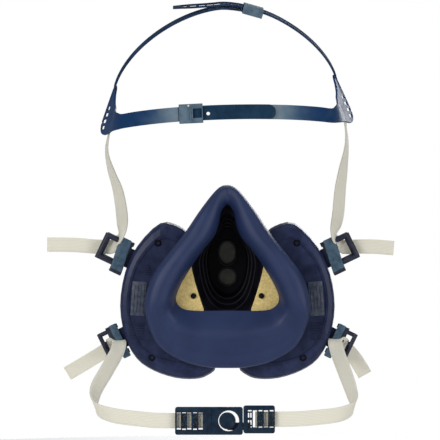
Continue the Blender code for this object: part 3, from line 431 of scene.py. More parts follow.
for node_name, finish in FRAME_FINISHES.items():
    nodes[node_name].data.materials.clear()
    nodes[node_name].data.materials.append(finish)
for side in ("left", "right"):
    for row in ("upper", "lower"):
        soften(nodes[f"{row}_buckle_{side}"], 0.0004)
print("finished", len(FRAME_FINISHES), "pieces of the frame")

# %% [markdown]
# ## Tools for shapes
# A smooth curve through a few points, and a skin over rings of points, make nearly every soft or
# moulded shape here. `show` turns a finished mesh into a piece and says which body it rides on.

# %% Curves, skins and pieces
def smooth_curve(points, steps, closed=False):
    """Points on a smooth curve that passes through every control point."""
    points = [Vector(p) for p in points]
    count = len(points)
    made = []
    for i in range(count if closed else count - 1):
        if closed:
            a, b, c, d = (points[(i + k) % count] for k in (-1, 0, 1, 2))
        else:
            a, b, c, d = (points[min(max(i + k, 0), count - 1)] for k in (-1, 0, 1, 2))
        for k in range(steps):
            t = k / steps
            made.append(0.5 * (2 * b + (c - a) * t + (2 * a - 5 * b + 4 * c - d) * t**2
                               + (3 * b - a - 3 * c + d) * t**3))
    if not closed:
        made.append(points[-1])
    return made


def skin(rings, closed=False):
    """A mesh over rings with the same number of points."""
    mesh = bmesh.new()
    rows = [[mesh.verts.new(point) for point in ring] for ring in rings]
    count = len(rows[0])
    pairs = list(zip(rows, rows[1:])) + ([(rows[-1], rows[0])] if closed else [])
    for low, high in pairs:
        for i in range(count):
            j = (i + 1) % count
            mesh.faces.new((low[i], low[j], high[j], high[i]))
    if not closed:
        mesh.faces.new(rows[0])
        mesh.faces.new(rows[-1])
    return mesh


def show(name, mesh, finish, body=None, replaces=(), sharp=40):
    """A piece from a mesh, in place, smooth but for its sharp edges."""
    bmesh.ops.recalc_face_normals(mesh, faces=mesh.faces)
    data = bpy.data.meshes.new(name)
    mesh.to_mesh(data)
    mesh.free()
    data.shade_smooth()
    data.set_sharp_from_angle(angle=math.radians(sharp))
    data.materials.append(finish)
    piece = bpy.data.objects.new(name, data)
    bpy.context.scene.collection.objects.link(piece)
    if body:
        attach(piece, body)
    if replaces:
        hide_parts(*replaces)
    return piece


def block(size, centre=(0, 0, 0), turn=None):
    mesh = bmesh.new()
    bmesh.ops.create_cube(mesh, size=1.0)
    bmesh.ops.scale(mesh, vec=size, verts=mesh.verts)
    if turn:
        bmesh.ops.rotate(mesh, matrix=turn, verts=mesh.verts)
    bmesh.ops.translate(mesh, vec=centre, verts=mesh.verts)
    return mesh


def round_bar(radius, length, centre, axis, sides=32):
    mesh = bmesh.new()
    ends = {"radius1": radius, "radius2": radius, "cap_ends": True}
    bmesh.ops.create_cone(mesh, segments=sides, depth=length, **ends)
    turn = Vector((0, 0, 1)).rotation_difference(Vector(axis)).to_matrix()
    bmesh.ops.rotate(mesh, matrix=turn, verts=mesh.verts)
    bmesh.ops.translate(mesh, vec=centre, verts=mesh.verts)
    return mesh


def cut(piece, mesh):
    """Cuts a mesh out of a piece and keeps the result as plain mesh."""
    bmesh.ops.recalc_face_normals(mesh, faces=mesh.faces)
    data = bpy.data.meshes.new("tool")
    mesh.to_mesh(data)
    mesh.free()
    tool = bpy.data.objects.new("tool", data)
    bpy.context.scene.collection.objects.link(tool)
    step = piece.modifiers.new("step", "BOOLEAN")
    step.object = tool
    step.operation = "DIFFERENCE"
    step.solver = "EXACT"
    keep_modifiers(piece)
    bpy.data.objects.remove(tool, do_unlink=True)


def keep_modifiers(piece):
    """The piece's mesh becomes what its modifiers make of it."""
    bpy.context.view_layer.update()
    ready = piece.evaluated_get(bpy.context.evaluated_depsgraph_get())
    made = bpy.data.meshes.new_from_object(ready)
    piece.modifiers.clear()
    old = piece.data
    piece.data = made
    bpy.data.meshes.remove(old)


def round_edges(piece, width, segments=2):
    """Rounds the edges of a piece that are sharper than a flat curve's facets."""
    step = piece.modifiers.new("rounding", "BEVEL")
    step.width = width
    step.segments = segments
    step.limit_method = "ANGLE"
    step.angle_limit = math.radians(35)
    keep_modifiers(piece)
    piece.data.shade_smooth()
    piece.data.set_sharp_from_angle(angle=math.radians(50))


# %% [markdown]
# ## The face seal
# The seal is one moulding: an outer wall rises to a soft rim, rolls over it and sinks inwards to the
# breathing opening. Round the chin a fold lets it give. It could be sculpted, but a cross-section
# that changes slowly round the face gives the same shape with full control: each ring below is that
# cross-section, and the skin joins them.

# %% Seal outlines and cross-section
HALF_WIDTH = 0.0775
HEIGHT = 0.1400
SEAL_EDGE = [
    (0.000, 0.4986), (-0.098, 0.4760), (-0.244, 0.3764), (-0.405, 0.2450), (-0.563, 0.1364),
    (-0.700, 0.0250), (-0.769, -0.1070), (-0.742, -0.2214), (-0.632, -0.3357), (-0.426, -0.4070),
    (-0.206, -0.4400), (0.000, -0.4457),
]
SEAL_OPENING = [
    (0.000, 0.3957), (-0.058, 0.3600), (-0.080, 0.3000), (-0.124, 0.2357), (-0.226, 0.1643),
    (-0.352, 0.0643), (-0.455, -0.0380), (-0.478, -0.0990), (-0.413, -0.1400), (-0.284, -0.1500),
    (-0.142, -0.1500), (0.000, -0.1493),
]
SEAL_BASE_Y = 0.0127
LIP_Y = 0.0065
SEAL_WALL = 0.0020


def face_loop(shares, steps):
    """A loop that is the same left and right, from its top round the left side, as (x, z)."""
    half = [(x * HALF_WIDTH, z * HEIGHT, 0) for x, z in shares]
    around = [(-half[1][0], half[1][1], 0)] + half + [(-half[-2][0], half[-2][1], 0)]
    left = [(p.x, p.y) for p in smooth_curve(around, steps)[steps:-steps]]
    return left + [(-x, z) for x, z in left[1:-1]][::-1]


def seal_profile(edge, lip, along):
    """The outer skin at one place, as (distance in, y), from the base over the rim to the lip."""
    reach = math.dist(edge, lip)
    side = math.sin(math.pi * along) ** 1.2
    end = -0.0040 * along
    crest = end + (-0.0120 - end) * side
    fall = LIP_Y - crest
    broad = [(0.0, SEAL_BASE_Y), (0.0, SEAL_BASE_Y * 0.5 + crest * 0.5), (0.10, crest + 0.14 * fall),
             (0.36, crest), (0.56, crest + 0.03 * fall), (0.74, crest + 0.16 * fall),
             (0.90, crest + 0.48 * fall), (1.0, LIP_Y)]
    folded = [(0.0, SEAL_BASE_Y), (0.0, 0.0070), (0.05, 0.0044), (0.13, 0.0036), (0.24, 0.0034),
              (0.38, 0.0012), (0.60, -0.0022), (1.0, LIP_Y)]
    share = max(0.0, min(1.0, (along - 0.56) / 0.22))
    share = share * share * (3 - 2 * share)
    return [((a * (1 - share) + c * share) * reach, b * (1 - share) + d * share)
            for (a, b), (c, d) in zip(broad, folded)]


def walled(line, wall):
    """A closed band: the line, and the same line moved in by the wall."""
    inner = []
    for i, point in enumerate(line):
        ahead = (line[min(i + 1, len(line) - 1)] - line[max(i - 1, 0)]).normalized()
        inner.append(point + Vector((-ahead.y, ahead.x, 0)) * wall)
    inner[0] = line[0] + Vector((wall, 0, 0))
    return line + inner[::-1]


# %% Skin the seal
def make_seal():
    edge, lip = face_loop(SEAL_EDGE, 7), face_loop(SEAL_OPENING, 7)
    half_count = len(edge) // 2
    rings = []
    for i, (outer, inner) in enumerate(zip(edge, lip)):
        along = i / half_count if i <= half_count else 2 - i / half_count
        inward = (Vector(inner) - Vector(outer)).normalized()
        profile = smooth_curve([(r, y, 0) for r, y in seal_profile(outer, inner, along)], 4)
        rings.append([(outer[0] + inward.x * p.x, p.y, outer[1] + inward.y * p.x)
                      for p in walled(profile, SEAL_WALL)])
    mesh = skin(rings, closed=True)
    piece = show("seal", mesh, seal_rubber, "facepiece", ("face_seal",), 60)
    print("seal:", len(piece.data.polygons), "faces")


make_seal()

# %% [markdown]
# ## Inside the duct
# The duct steps inwards towards the exhalation wall, and both ports have a raised rim that the
# diaphragm seals on. Small closed bands that follow the duct's own outline give those steps.

# %% Duct steps and port rims
DUCT_MOUTH = [
    (0.000, 0.3650), (-0.090, 0.3200), (-0.200, 0.2200), (-0.300, 0.1300), (-0.330, 0.0700),
    (-0.300, -0.0200), (-0.262, -0.0900), (-0.205, -0.1550), (-0.110, -0.2000), (0.000, -0.2100),
]
DUCT_TAPER = [(0.0, 0.0131), (0.50, 0.0225), (0.80, 0.0340), (1.0, 0.0500)]
DUCT_END_MIDDLE_Z = 0.0140
DUCT_END_RADII = (0.0140, 0.0240)


def duct_loop(share):
    """The duct's inner outline at a share of the way from its mouth to its end wall, as (x, z)."""
    mouth = face_loop(DUCT_MOUTH, 6)
    made = []
    for k, (x, z) in enumerate(mouth):
        angle = math.pi / 2 + 2 * math.pi * k / len(mouth)
        end_x = DUCT_END_RADII[0] * math.cos(angle)
        end_z = DUCT_END_MIDDLE_Z + DUCT_END_RADII[1] * math.sin(angle)
        made.append((x + (end_x - x) * share, z + (end_z - z) * share))
    return made


def duct_depth(share):
    for (low, low_y), (high, high_y) in zip(DUCT_TAPER, DUCT_TAPER[1:]):
        if share <= high:
            return low_y + (high_y - low_y) * (share - low) / (high - low)
    return DUCT_TAPER[-1][1]


def band(outline, y, width, depth):
    """A closed square-sectioned band just inside an outline."""
    count = len(outline)
    rings = []
    for k, (x, z) in enumerate(outline):
        ahead = (Vector(outline[(k + 1) % count]) - Vector(outline[k - 1])).normalized()
        inward = Vector((-ahead.y, ahead.x))
        near = Vector((x, z))
        far = near + inward * width
        rings.append([(near.x, y, near.y), (far.x, y + 0.0002, far.y),
                      (far.x, y + depth, far.y), (near.x, y + depth, near.y)])
    return skin(rings, closed=True)


for k, share in enumerate((0.40, 0.62, 0.82)):
    step = band(duct_loop(share), duct_depth(share) - 0.0004, 0.0009, 0.0012)
    show(f"duct_step_{k}", step, frame_plastic, "facepiece")


DUCT_END_Y = 0.0500
RIM_SECTION = [(0.0001, -0.0002), (0.0003, 0.0008), (0.0010, 0.0011), (0.0017, 0.0008), (0.0019, -0.0002)]


def port_rim(name, half_width, half_height, middle_z):
    """A rounded ridge round a port: its section goes out from the port, and up off the wall."""
    rings = []
    for k in range(48):
        a = 2 * math.pi * k / 48
        rings.append([
            (math.cos(a) * (half_width + r), DUCT_END_Y - y, middle_z + math.sin(a) * (half_height + r))
            for r, y in RIM_SECTION
        ])
    show(name, skin(rings, closed=True), port_plastic, "facepiece")


port_rim("upper_port_rim", 0.0060, 0.0080, 0.0203)
port_rim("lower_port_rim", 0.0058, 0.0058, 0.0027)

# %% [markdown]
# ## Elastic straps
# Each strap leaves a buckle as a loose tail on one side and as the working run on the other. A run
# is a flat ribbon swept along a smooth line, whose width direction turns as the strap twists. Where
# a strap crosses a joint it is split, so that each part spans two bodies at most; a part that spans
# two rides on neither of them.

# %% Ribbon with a flat map
WEB_WIDTH = 0.0105
WEB_THICKNESS = 0.0013
WEB_STEPS = 6


def web_frames(stations, steps=WEB_STEPS):
    """Centre, width direction, thickness direction and length so far, at small steps along a strap."""
    centres = smooth_curve([s[0] for s in stations], steps)
    across = smooth_curve([Vector(s[1]).normalized() for s in stations], steps)
    made, length = [], 0.0
    for i, centre in enumerate(centres):
        ahead = (centres[min(i + 1, len(centres) - 1)] - centres[max(i - 1, 0)]).normalized()
        side = (across[i] - ahead * across[i].dot(ahead)).normalized()
        length += (centre - centres[i - 1]).length if i else 0.0
        made.append((centre, side, ahead.cross(side), length))
    return made


WEB_SECTION = [
    (-0.500, -0.25), (-0.470, -0.50), (-0.25, -0.50), (0.0, -0.50), (0.25, -0.50), (0.470, -0.50),
    (0.500, -0.25), (0.500, 0.25), (0.470, 0.50), (0.25, 0.50), (0.0, 0.50), (-0.25, 0.50), (-0.470, 0.50),
    (-0.500, 0.25),
]


def web_mesh(frames):
    """The ribbon's skin, with a flat map in metres: across is u, along is v."""
    rings = [[centre + side * (WEB_WIDTH * x) + up * (WEB_THICKNESS * y) for x, y in WEB_SECTION]
             for centre, side, up, _ in frames]
    mesh = skin(rings)
    flat = mesh.loops.layers.uv.new("strap")
    mesh.verts.index_update()
    count = len(WEB_SECTION)
    for face in mesh.faces:
        for loop in face.loops:
            ring, place = divmod(loop.vert.index, count)
            loop[flat].uv = ((WEB_SECTION[place][0] + 0.5) * WEB_WIDTH, frames[ring][3])
    return mesh


def make_web(name, frames, start, end, replaces=()):
    """One strap piece: start and end are bodies; the same name twice means that it just rides."""
    body = start if start == end else None
    piece = show(name, web_mesh(frames), webbing, body, replaces, 70)
    if body is None:
        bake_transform(piece)


# %% Upper straps
UPPER_TAIL = {
    "left": [
        ((-0.1317, 0.0270, 0.0266), (0.02, 0, 1)), ((-0.1130, 0.0290, 0.0264), (0, 0, 1)),
        ((-0.0975, 0.0300, 0.0252), (-0.05, 0, 1)), ((-0.0905, 0.0295, 0.0249), (-0.15, 0.05, 1)),
        ((-0.0845, 0.0275, 0.0252), (-0.35, 0.35, 0.9)), ((-0.0820, 0.0266, 0.0282), (-0.42, 0.75, 0.5)),
        ((-0.0784, 0.0227, 0.0318), (-0.25, 1, 0.25)),
    ],
    "right": [
        ((0.1216, 0.0270, 0.0240), (-0.05, 0, 1)), ((0.1090, 0.0290, 0.0250), (0, 0, 1)),
        ((0.0975, 0.0300, 0.0252), (0.05, 0, 1)), ((0.0905, 0.0295, 0.0249), (0.15, 0.05, 1)),
        ((0.0845, 0.0275, 0.0252), (0.35, 0.35, 0.9)), ((0.0820, 0.0266, 0.0282), (0.42, 0.75, 0.5)),
        ((0.0784, 0.0228, 0.0318), (0.25, 1, 0.25)),
    ],
}
UPPER_RUN = {
    "left": [
        ((-0.0768, 0.0160, 0.0400), (-0.62, 0.80, 0.1)),
        ((-0.0764, 0.0050, 0.0500), (-0.70, 0.72, 0)), ((-0.0784, -0.0120, 0.0661), (-0.62, 0.78, 0)),
        ((-0.0824, -0.0280, 0.0801), (-0.40, 0.90, 0.1)), ((-0.0846, -0.0450, 0.0938), (-0.15, 1, 0.3)),
        ((-0.0822, -0.0580, 0.1070), (0.1, 1, 0.4)), ((-0.0808, -0.0595, 0.1125), (0.2, 1, 0.3)),
    ],
    "right": [
        ((0.0790, 0.0160, 0.0400), (0.72, 0.70, 0.1)),
        ((0.0800, 0.0050, 0.0500), (0.74, 0.68, 0)), ((0.0806, -0.0120, 0.0670), (0.66, 0.75, 0)),
        ((0.0819, -0.0280, 0.0820), (0.50, 0.86, 0.1)), ((0.0833, -0.0450, 0.0990), (0.20, 1, 0.3)),
        ((0.0814, -0.0580, 0.1145), (-0.1, 1, 0.4)), ((0.0798, -0.0595, 0.1200), (-0.2, 1, 0.3)),
    ],
}
for side in ("left", "right"):
    frames = web_frames(UPPER_TAIL[side] + UPPER_RUN[side])
    on_buckle = (len(UPPER_TAIL[side]) - 1) * WEB_STEPS
    free = on_buckle + 2 * WEB_STEPS
    make_web(f"upper_tail_{side}", frames[:on_buckle + 1], f"upper_clip_{side}", f"upper_clip_{side}",
             (f"upper_strap_tail_{side}",))
    make_web(f"upper_join_{side}", frames[on_buckle:free + 1], f"upper_clip_{side}", "facepiece")
    if side == "left":
        make_web("upper_web_left", frames[free:], "facepiece", "headband", ("upper_strap_left",))
    else:
        near_ear = len(frames) - 1 - 2 * WEB_STEPS
        make_web("upper_web_right", frames[free:near_ear + 1], "facepiece", "headband",
                 ("upper_strap_right",))
        make_web("upper_end_right", frames[near_ear:], "headband", "headband_right")
    print("upper strap", side, "is", round(1000 * frames[-1][3]), "mm with its tail")

# %% Lower straps
LOWER_TAIL = {
    "left": [
        ((-0.1174, 0.0340, -0.0681), (-0.48, 0, 0.88)), ((-0.1030, 0.0340, -0.0596), (-0.50, 0, 0.87)),
        ((-0.0900, 0.0330, -0.0515), (-0.52, 0, 0.85)), ((-0.0840, 0.0300, -0.0475), (-0.60, 0, 0.80)),
    ],
    "right": [
        ((0.1010, 0.0340, -0.0690), (0.80, 0, 0.60)), ((0.0950, 0.0340, -0.0590), (0.76, 0, 0.65)),
        ((0.0890, 0.0330, -0.0515), (0.70, 0, 0.71)), ((0.0840, 0.0300, -0.0475), (0.70, 0, 0.71)),
    ],
}
LOWER_FOLD = {
    "left": [
        ((-0.0838, 0.0245, -0.0452), (-0.88, 0, 0.40)), ((-0.0790, 0.0190, -0.0440), (-0.97, -0.1, -0.10)),
    ],
    "right": [
        ((0.0838, 0.0245, -0.0452), (0.88, 0, 0.40)), ((0.0786, 0.0190, -0.0430), (0.97, -0.1, -0.10)),
    ],
}
LOWER_RUN = {
    "left": [
        ((-0.080, 0.006, -0.0510), (-0.88, -0.2, 0.42)), ((-0.0864, -0.015, -0.0630), (-0.80, -0.2, 0.55)),
        ((-0.0934, -0.037, -0.0765), (-0.62, -0.3, 0.72)),
        ((-0.0919, -0.053, -0.0868), (-0.25, -0.3, 0.92)),
        ((-0.0800, -0.062, -0.0912), (-0.18, -0.1, 0.98)),
        ((-0.0600, -0.0664, -0.0935), (-0.08, 0.0, 1)), ((-0.0460, -0.0675, -0.0944), (0, 0, 1)),
        ((-0.0160, -0.0676, -0.0944), (0, 0, 1)),
    ],
    "right": [
        ((0.0796, 0.0060, -0.0510), (0.88, -0.2, 0.42)),
        ((0.0832, -0.015, -0.0625), (0.80, -0.2, 0.55)), ((0.0872, -0.037, -0.0755), (0.62, -0.3, 0.72)),
        ((0.0884, -0.053, -0.0852), (0.25, -0.3, 0.92)), ((0.0792, -0.062, -0.0902), (0.18, -0.1, 0.98)),
        ((0.0600, -0.0664, -0.0925), (0.08, 0.0, 1)), ((0.0430, -0.0675, -0.0934), (0, 0, 1)),
        ((0.0190, -0.0676, -0.0934), (0, 0, 1)),
    ],
}
for side in ("left", "right"):
    frames = web_frames(LOWER_TAIL[side] + LOWER_FOLD[side] + LOWER_RUN[side])
    on_buckle = len(LOWER_TAIL[side]) * WEB_STEPS
    free = on_buckle + 2 * WEB_STEPS
    make_web(f"lower_tail_{side}", frames[:on_buckle + 1], f"lower_clip_{side}", f"lower_clip_{side}",
             (f"lower_strap_tail_{side}",))
    make_web(f"lower_join_{side}", frames[on_buckle:free + 1], f"lower_clip_{side}", "facepiece")
    if side == "left":
        make_web("lower_web_left", frames[free:], "facepiece", "clasp", ("lower_strap_left",))
    else:
        near_clasp = len(frames) - 1 - 2 * WEB_STEPS
        make_web("lower_web_right", frames[free:near_clasp + 1], "facepiece", "clasp",
                 ("lower_strap_right",))
        make_web("lower_end_right", frames[near_clasp:], "clasp", "clasp_hook")
    print("lower strap", side, "is", round(1000 * frames[-1][3]), "mm with its tail")

# %% [markdown]
# ## The head cradle
# Each half of the cradle is one flexible moulding: an ear with slots for the elastic, an arm round
# the back of the head and an arm over the crown. A ruled sheet does it: for every place along an arm
# there is a low edge and a high edge, and a closed section with a slightly raised rim joins them.

# %% Sheets with a raised rim
CRADLE_ORIGIN = Vector((-0.0004, -0.0600, 0.1080))
CRADLE_TURN = Matrix.Translation(CRADLE_ORIGIN) @ Matrix.Rotation(math.radians(-2.8), 4, "Y")
CRADLE_HALF_WIDTH = 0.0868
ARM_WIDTH = 0.0098
ARM_THICKNESS = 0.0014
RIM_STEPS = [(0.0, 0.30), (0.0002, 0.5), (0.0008, 0.5), (0.0011, 0.34)]


def sheet(lows, highs, thickness):
    """Closed rings between two edges, thick at the rim and thinner between."""
    rings = []
    middles = [(low + high) / 2 for low, high in zip(lows, highs)]
    for i, (low, high) in enumerate(zip(lows, highs)):
        ahead = middles[min(i + 1, len(middles) - 1)] - middles[max(i - 1, 0)]
        face = ahead.cross(high - low).normalized() * thickness
        height = (high - low).length
        steps = [(min(0.45, d / height), t) for d, t in RIM_STEPS]
        steps = steps + [(0.5, 0.32)] + [(1 - f, t) for f, t in reversed(steps)]
        rings.append([low.lerp(high, f) + face * t for f, t in steps]
                     + [low.lerp(high, f) - face * t for f, t in reversed(steps)])
    return rings


def in_cradle(rings):
    return [[CRADLE_TURN @ point for point in ring] for ring in rings]


# %% [markdown]
# ### Where the arms run
# The back arm is flat across the head and turns sharply towards the ears, like a rounded box. The
# crown arm is an arch that is a little more pointed than an ellipse. The ear leans in at its top.

# %% Lines of the cradle
BACK_DEPTH = 0.0670
ARM_Z = 0.0056
BACK_BOW = 0.0022           # the middle of the back arm rides higher than its ends
BACK_RISE = 0.0010
FLAT_X = 0.034
CROWN_FOOT = (-0.0020, 0.0260)
CROWN_TOP = (-0.0190, 0.0830)


def ear_x(y, z):
    return CRADLE_HALF_WIDTH - 0.32 * z + 0.26 * y


def back_y(x):
    over = max(0.0, abs(x) - FLAT_X) / (CRADLE_HALF_WIDTH - 0.0020 - FLAT_X)
    return -0.0150 - (BACK_DEPTH - 0.0150) * math.sqrt(max(0.0, 1.0 - over**2.2))


def back_z(x):
    """The arm is bowed, and its left end rides a little higher than its right end."""
    return ARM_Z + BACK_RISE - 0.022 * x + BACK_BOW - 1.67 * BACK_BOW * (x / 0.072) ** 2


def crown_point(share, gain=0.0):
    """A point on the crown arch: share 0 at the left ear, 0.5 at the top, 1 at the right ear."""
    c, s = math.cos(math.pi * (1 - share)), math.sin(math.pi * share)
    foot_x = ear_x(*CROWN_FOOT) * (1 + gain / CRADLE_HALF_WIDTH)
    x = foot_x * math.copysign(abs(c) ** 1.2, c)
    rise = s**1.2
    return Vector((x, CROWN_FOOT[0] + (CROWN_TOP[0] - CROWN_FOOT[0]) * rise,
                   CROWN_FOOT[1] + (CROWN_TOP[1] + gain - CROWN_FOOT[1]) * rise))


CROWN_ACROSS = Vector((0, CROWN_TOP[1] - CROWN_FOOT[1], CROWN_FOOT[0] - CROWN_TOP[0])).normalized()

# %% [markdown]
# ### Ear and back arm
# From the front of the ear to the middle of the head, each station is a place, a low edge and a high
# edge. The high edge falls in a long curve, which is the web that braces the ear.

# %% Ear and back arm
EAR_STATIONS = [  # y, low z, high z
    (0.0118, 0.0072, 0.0104), (0.0100, 0.0046, 0.0150), (0.0073, 0.0026, 0.0216), (0.0045, 0.0014, 0.0280),
    (0.0022, 0.0008, 0.0325), (-0.0010, 0.0002, 0.0340), (-0.0044, -0.0002, 0.0315),
    (-0.0066, -0.0003, 0.0275), (-0.0100, -0.0003, 0.0238), (-0.0140, -0.0002, 0.0206),
    (-0.0190, 0.0000, 0.0180),
]
BEND_STATIONS = [  # x half way up, y, low z, high z, lean
    (0.0793, -0.0260, 0.0002, 0.0160, 0.30), (0.0782, -0.0330, 0.0003, 0.0145, 0.25),
    (0.0768, -0.0400, 0.0003, 0.0131, 0.16), (0.0746, -0.0458, 0.0003, 0.0118, 0.07),
]


def ear_and_arm(side, end_x, step, rounded):
    """Low and high edges from the ear's front to the end of the back arm."""
    lows, highs = [], []
    for y, low, high in EAR_STATIONS:
        lows.append(Vector((side * ear_x(y, low), y, low)))
        highs.append(Vector((side * ear_x(y, high), y, high)))
    start = side * 0.0710
    extra = back_z(start) - 0.0054
    for k, (x, y, low, high, lean) in enumerate(BEND_STATIONS):
        rise = extra * (k + 1) / 5
        lows.append(Vector((side * (x - lean * (low - 0.005)), y, low + rise)))
        highs.append(Vector((side * (x - lean * (high - 0.005)), y, high + rise)))
    places = [start + (end_x - start) * k / 12 for k in range(13)]
    half = [ARM_WIDTH / 2] * 13
    if rounded:
        ahead = math.copysign(1, end_x - start)
        for back in (0.0036, 0.0020, 0.0008, 0.0002):
            places.append(end_x + ahead * (ARM_WIDTH / 2 - back))
            half.append(math.sqrt((ARM_WIDTH / 2) ** 2 - (ARM_WIDTH / 2 - back) ** 2))
    for k, (x, tall) in enumerate(zip(places, half)):
        y = back_y(x) - step * min(1.0, k / 4)
        lows.append(Vector((x, y, back_z(x) - tall)))
        highs.append(Vector((x, y, back_z(x) + tall)))
    return smooth_curve(lows, 3), smooth_curve(highs, 3)


LEFT_FOOT, RIGHT_FOOT = 0.050, 0.950
CROWN_STEPS = 36
CROWN_THICKNESS = 0.0013
LOOSE_FROM = 0.78           # where along the right arm its tail starts to leave the arm below


def looseness(run):
    """0 where the tail leaves the arm below, 1 at its tip."""
    return max(0.0, (run - LOOSE_FROM) / (1 - LOOSE_FROM))


def crown_rings(foot, end, gain, lift):
    """Sheet rings along the crown arch; lift raises the loose end off the arm below."""
    lows, highs = [], []
    for k in range(CROWN_STEPS + 1):
        share = foot + (end - foot) * k / CROWN_STEPS
        loose = looseness(k / CROWN_STEPS)
        spot = crown_point(share, gain * min(1.0, 3 * min(share, 1 - share)) + lift * loose**2)
        half = ARM_WIDTH / 2
        if lift:
            half *= min(1.0, 0.60 + 0.16 * (CROWN_STEPS - k))
        lows.append(spot - CROWN_ACROSS * half)
        highs.append(spot + CROWN_ACROSS * half)
    return sheet(lows, highs, CROWN_THICKNESS)


# %% [markdown]
# ### Two halves that overlap
# The left half's back arm lies over the right one, and the right half's crown arm lies over the left
# one, so each tail is moved out by about its own thickness. The tails stay loose beyond the keepers.

# %% Both halves
LAYER_STEP = 0.0025
CROWN_GAIN = 0.0025
CROWN_TIP_LIFT = 0.0078
CROWN_TAIL = 0.352
CROWN_KEEPER = 0.610
BACK_TAIL_X = 0.0280
BACK_KEEPER_X = -0.0240

left_rings = in_cradle(sheet(*ear_and_arm(-1, BACK_TAIL_X, LAYER_STEP, True), ARM_THICKNESS))
right_rings = in_cradle(sheet(*ear_and_arm(1, BACK_KEEPER_X, 0.0, False), ARM_THICKNESS))


def cradle_arm(name, rings, finish, body, replaces=()):
    return show(name, skin(rings), finish, body, replaces, 50)


left_back = cradle_arm("cradle_left_back", left_rings, cradle_plastic, "headband", ("cradle_left",))
right_back = cradle_arm("cradle_right_back", right_rings, cradle_plastic, "headband_right",
                        ("cradle_right",))
left_arch = in_cradle(crown_rings(LEFT_FOOT, CROWN_KEEPER, 0.0, 0.0))
right_arch = in_cradle(crown_rings(RIGHT_FOOT, CROWN_TAIL, CROWN_GAIN, CROWN_TIP_LIFT))
cradle_arm("cradle_left_crown", left_arch, crown_plastic, "headband")
right_crown = cradle_arm("cradle_right_crown", right_arch, crown_plastic, "headband_right")

# %% [markdown]
# ### Slots, peg holes and dimples
# The elastic threads through slots in the ears. The tails have a row of peg holes; on the back arm
# they are shallow, because the plastic is thin there, and on the crown they go right through.

# %% Cut the cradle
def cradle_block(size, centre, axes=None):
    turn = CRADLE_TURN.to_3x3() @ axes if axes else CRADLE_TURN.to_3x3()
    return block(size, CRADLE_TURN @ Vector(centre), turn)


def cradle_bar(radius, length, centre):
    """A round bar that points front to back through the cradle."""
    axis = CRADLE_TURN.to_3x3() @ Vector((0, 1, 0))
    return round_bar(radius, length, CRADLE_TURN @ Vector(centre), axis, 24)


EAR_SLOTS = [  # y, z, length
    (0.0040, 0.0052, 0.0100), (0.0045, 0.0096, 0.0110), (0.0030, 0.0140, 0.0100), (0.0015, 0.0184, 0.0080),
]
for piece, side in ((left_back, -1), (right_back, 1)):
    for y, z, long in EAR_SLOTS:
        cut(piece, cradle_block((0.016, long, 0.0023), (side * ear_x(y, z), y, z)))

PEG_PITCH = 0.0056
DIMPLE_DEPTH = 0.0010
THROUGH_HOLE_X = -0.0125
tail_face_y = back_y(0) - LAYER_STEP - ARM_THICKNESS / 2
for k in range(8):
    x = BACK_TAIL_X + 0.0002 - PEG_PITCH * (k + 1)
    cut(left_back, cradle_bar(0.0014, DIMPLE_DEPTH, (x, tail_face_y, back_z(x))))
cut(left_back, cradle_bar(0.0023, DIMPLE_DEPTH, (BACK_TAIL_X, tail_face_y, back_z(BACK_TAIL_X))))
for piece in (left_back, right_back):
    cut(piece, cradle_bar(0.0012, 0.0100, (THROUGH_HOLE_X, back_y(0), back_z(-THROUGH_HOLE_X))))


def crown_axes(share, gain):
    """Along the arch, across it and out of it, as the columns of a turn."""
    along = (crown_point(share + 0.01, gain) - crown_point(share - 0.01, gain)).normalized()
    up = CROWN_ACROSS.cross(along).normalized()
    return Matrix((along, CROWN_ACROSS, up)).transposed()


TAIL_SLOT = (0.0042, 0.0054, 0.0100)
for k in range(5):
    share = CROWN_TAIL + 0.026 + 0.0255 * k
    loose = looseness((RIGHT_FOOT - share) / (RIGHT_FOOT - CROWN_TAIL))
    gain = CROWN_GAIN * min(1.0, 3 * share) + CROWN_TIP_LIFT * loose**2
    cut(right_crown, cradle_block(TAIL_SLOT, crown_point(share, gain), crown_axes(share, gain)))

# The tail beyond the keeper is the thick end of the left arm, so it takes the deeper finish.
left_back.data.materials.append(tail_plastic)
TAIL_FROM_X = -0.0330
unturn = CRADLE_TURN.inverted()
for face in left_back.data.polygons:
    if (unturn @ face.center).x > TAIL_FROM_X:
        face.material_index = 1

# %% [markdown]
# ### Keepers
# A keeper is a flat sleeve on one half that the other half slides through. It is built as a rounded
# block with the arm's space cut out, then ridges for the thumb are added.

# %% Back keeper
KEEPER_SIZE = (0.0160, 0.0066, 0.0128)
KEEPER_BORE = (0.030, 0.0046, ARM_WIDTH + 0.0008)
KEEPER_POCKET = (0.0062, 0.0040, 0.0062)
keeper_middle = (BACK_KEEPER_X, back_y(BACK_KEEPER_X) - LAYER_STEP / 2, back_z(BACK_KEEPER_X))


def from_keeper(x, y, z):
    """A place given from the middle of the back keeper, in the cradle's frame."""
    return (keeper_middle[0] + x, keeper_middle[1] + y, keeper_middle[2] + z)


back_keeper = show("back_keeper", cradle_block(KEEPER_SIZE, keeper_middle), keeper_plastic,
                   "headband_right")
cut(back_keeper, cradle_block(KEEPER_BORE, keeper_middle))
cut(back_keeper, cradle_block(KEEPER_POCKET, from_keeper(0.0042, -0.0028, 0)))
round_edges(back_keeper, 0.0003)
for k, x in enumerate((-0.0018, -0.0004, 0.0010)):
    ridge = cradle_block((0.0006, 0.0006, 0.0092), from_keeper(x, -0.0034, 0))
    show(f"keeper_ridge_{k}", ridge, keeper_plastic, "headband_right")
pip = cradle_bar(0.0007, 0.0006, from_keeper(-0.0015, -0.0034, 0.0052))
show("keeper_pip", pip, webbing, "headband_right")

